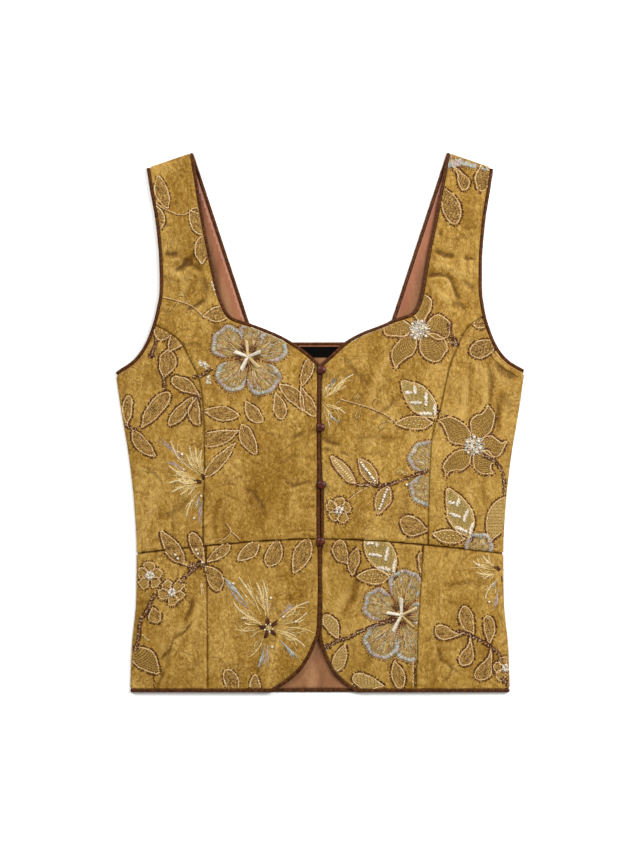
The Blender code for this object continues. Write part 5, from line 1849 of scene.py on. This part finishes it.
# Beads: white and cream pearls, and silver cut beads
beadSettings = {
    "pearl": {"tones": ((220, 200, 168), (246, 232, 208)), "Roughness": 0.25, "Coat Weight": 0.5},
    "straw": {"tones": ((214, 184, 112), (240, 220, 160)), "Roughness": 0.3, "Coat Weight": 0.4},
    "silver": {"tones": ((176, 178, 184), (238, 236, 238)), "Roughness": 0.18, "Metallic": 0.55, "Coat Weight": 0.5},
}
# a bead of radius one: two poles, and three rings of six corners, each at its height and reach
ringTurns = np.arange(6) * tau / 6
beadForm = [(0.0, 0.0, -0.75)]
for up, reach in ((-0.5, 0.75), (0.05, 1.0), (0.55, 0.72)):
    beadForm += [(math.cos(t + up) * reach, math.sin(t + up) * reach, up) for t in ringTurns]
beadForm = np.array(beadForm + [(0.0, 0.0, 0.8)])
beadFaces = [(0, 2 + i if i < 5 else 1, 1 + i) for i in range(6)]
for ring in (1, 7):
    beadFaces += [(ring + i, ring + (i + 1) % 6, ring + 6 + (i + 1) % 6, ring + 6 + i) for i in range(6)]
beadFaces += [(13 + i, 13 + (i + 1) % 6, 19) for i in range(6)]
for kind, settings in beadSettings.items():
    made, tree, shader = newMaterial(kind + "Bead", settings)
    tone = noiseAt(tree, objectPlace(tree), 700.0, 1.0)
    tree.links.new(ramp(tree, tone, list(zip((0.35, 0.6), settings["tones"]))), shader.inputs["Base Color"])
    x, h, radius, lift, side = np.array(beadBox[kind]).T
    middles = np.stack([x, h, frontTop(side, x, h) + lift + radius * 0.4], axis=1)
    verts = beadForm * radius[:, None, None] + middles[:, None, :]
    faces = [tuple(corner + len(beadForm) * n for corner in face) for n in range(len(x)) for face in beadFaces]
    piece = newPiece(kind + "Beads", world(*verts.reshape(-1, 3).T), faces, made)
    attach(piece, "root")
    print("beads", kind, len(x))

# Fillings: the ground of thread and net inside each motif
fillingSettings = {
    "netFilling": {"tones": ((70, 42, 4), (157, 113, 38), (230, 191, 108)), "cells": 0.62, "threads": 0.5},
    "lineFilling": {"tones": ((98, 66, 14), (166, 126, 48), (216, 178, 96)), "cells": 0.5, "threads": 0.9},
    "paleFilling": {"tones": ((134, 102, 40), (174, 140, 72), (210, 178, 112)), "cells": 0.5, "threads": 0.9},
    "oliveFilling": {"tones": ((112, 92, 34), (162, 136, 68), (208, 182, 118)), "cells": 0.5, "threads": 0.7},
    "petalFilling": {"tones": ((108, 84, 30), (168, 138, 74), (214, 188, 130)), "cells": 0.7, "threads": 0.8},
}
fillingLift = 0.13
fillingWall = 0.25


def fillingMaterial(name, settings):
    made, tree, shader = newMaterial(name, {"Roughness": 0.6, "Specular IOR Level": 0.25})
    speck = noiseAt(tree, uvPlace(tree), settings["cells"] * 1.6, 3.0, 0.7)
    strands = noiseAt(tree, uvPlace(tree, (0.22, 1.6, 1.0)), settings["threads"], 2.0, 0.6)
    colour = threeTones(tree, scaled(tree, speck, 0.55, times(tree, strands, 0.45)), settings, (0.37, 0.5, 0.63))
    net = times(tree, fading(tree, edgeGap(tree, uvPlace(tree), settings["cells"]), 0.14), 0.45)
    tree.links.new(mixColour(tree, net, colour, settings["tones"][0]), shader.inputs["Base Color"])
    bump(tree, shader, speck, 0.6, 0.0005, bump(tree, shader, strands, 0.5, 0.0003))
    return made


for kind, parts in patchBox.items():
    verts, faces, uvs, total = [], [], [], 0
    for points, cells, uv, side in parts:
        level = frontTop(np.full(len(points), side), *points.T) + fillingLift
        verts.append(np.column_stack([points, level]))
        faces.append(cells + total)
        uvs.append(uv)
        total += len(points)
    piece = newPiece(kind, world(*np.vstack(verts).T), np.vstack(faces), fillingMaterial(kind, fillingSettings[kind]),
                     uv=np.vstack(uvs))
    thicken(piece, fillingWall)
    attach(piece, "root")
    print("filling", kind, len(piece.data.polygons))

bpy.context.view_layer.update()
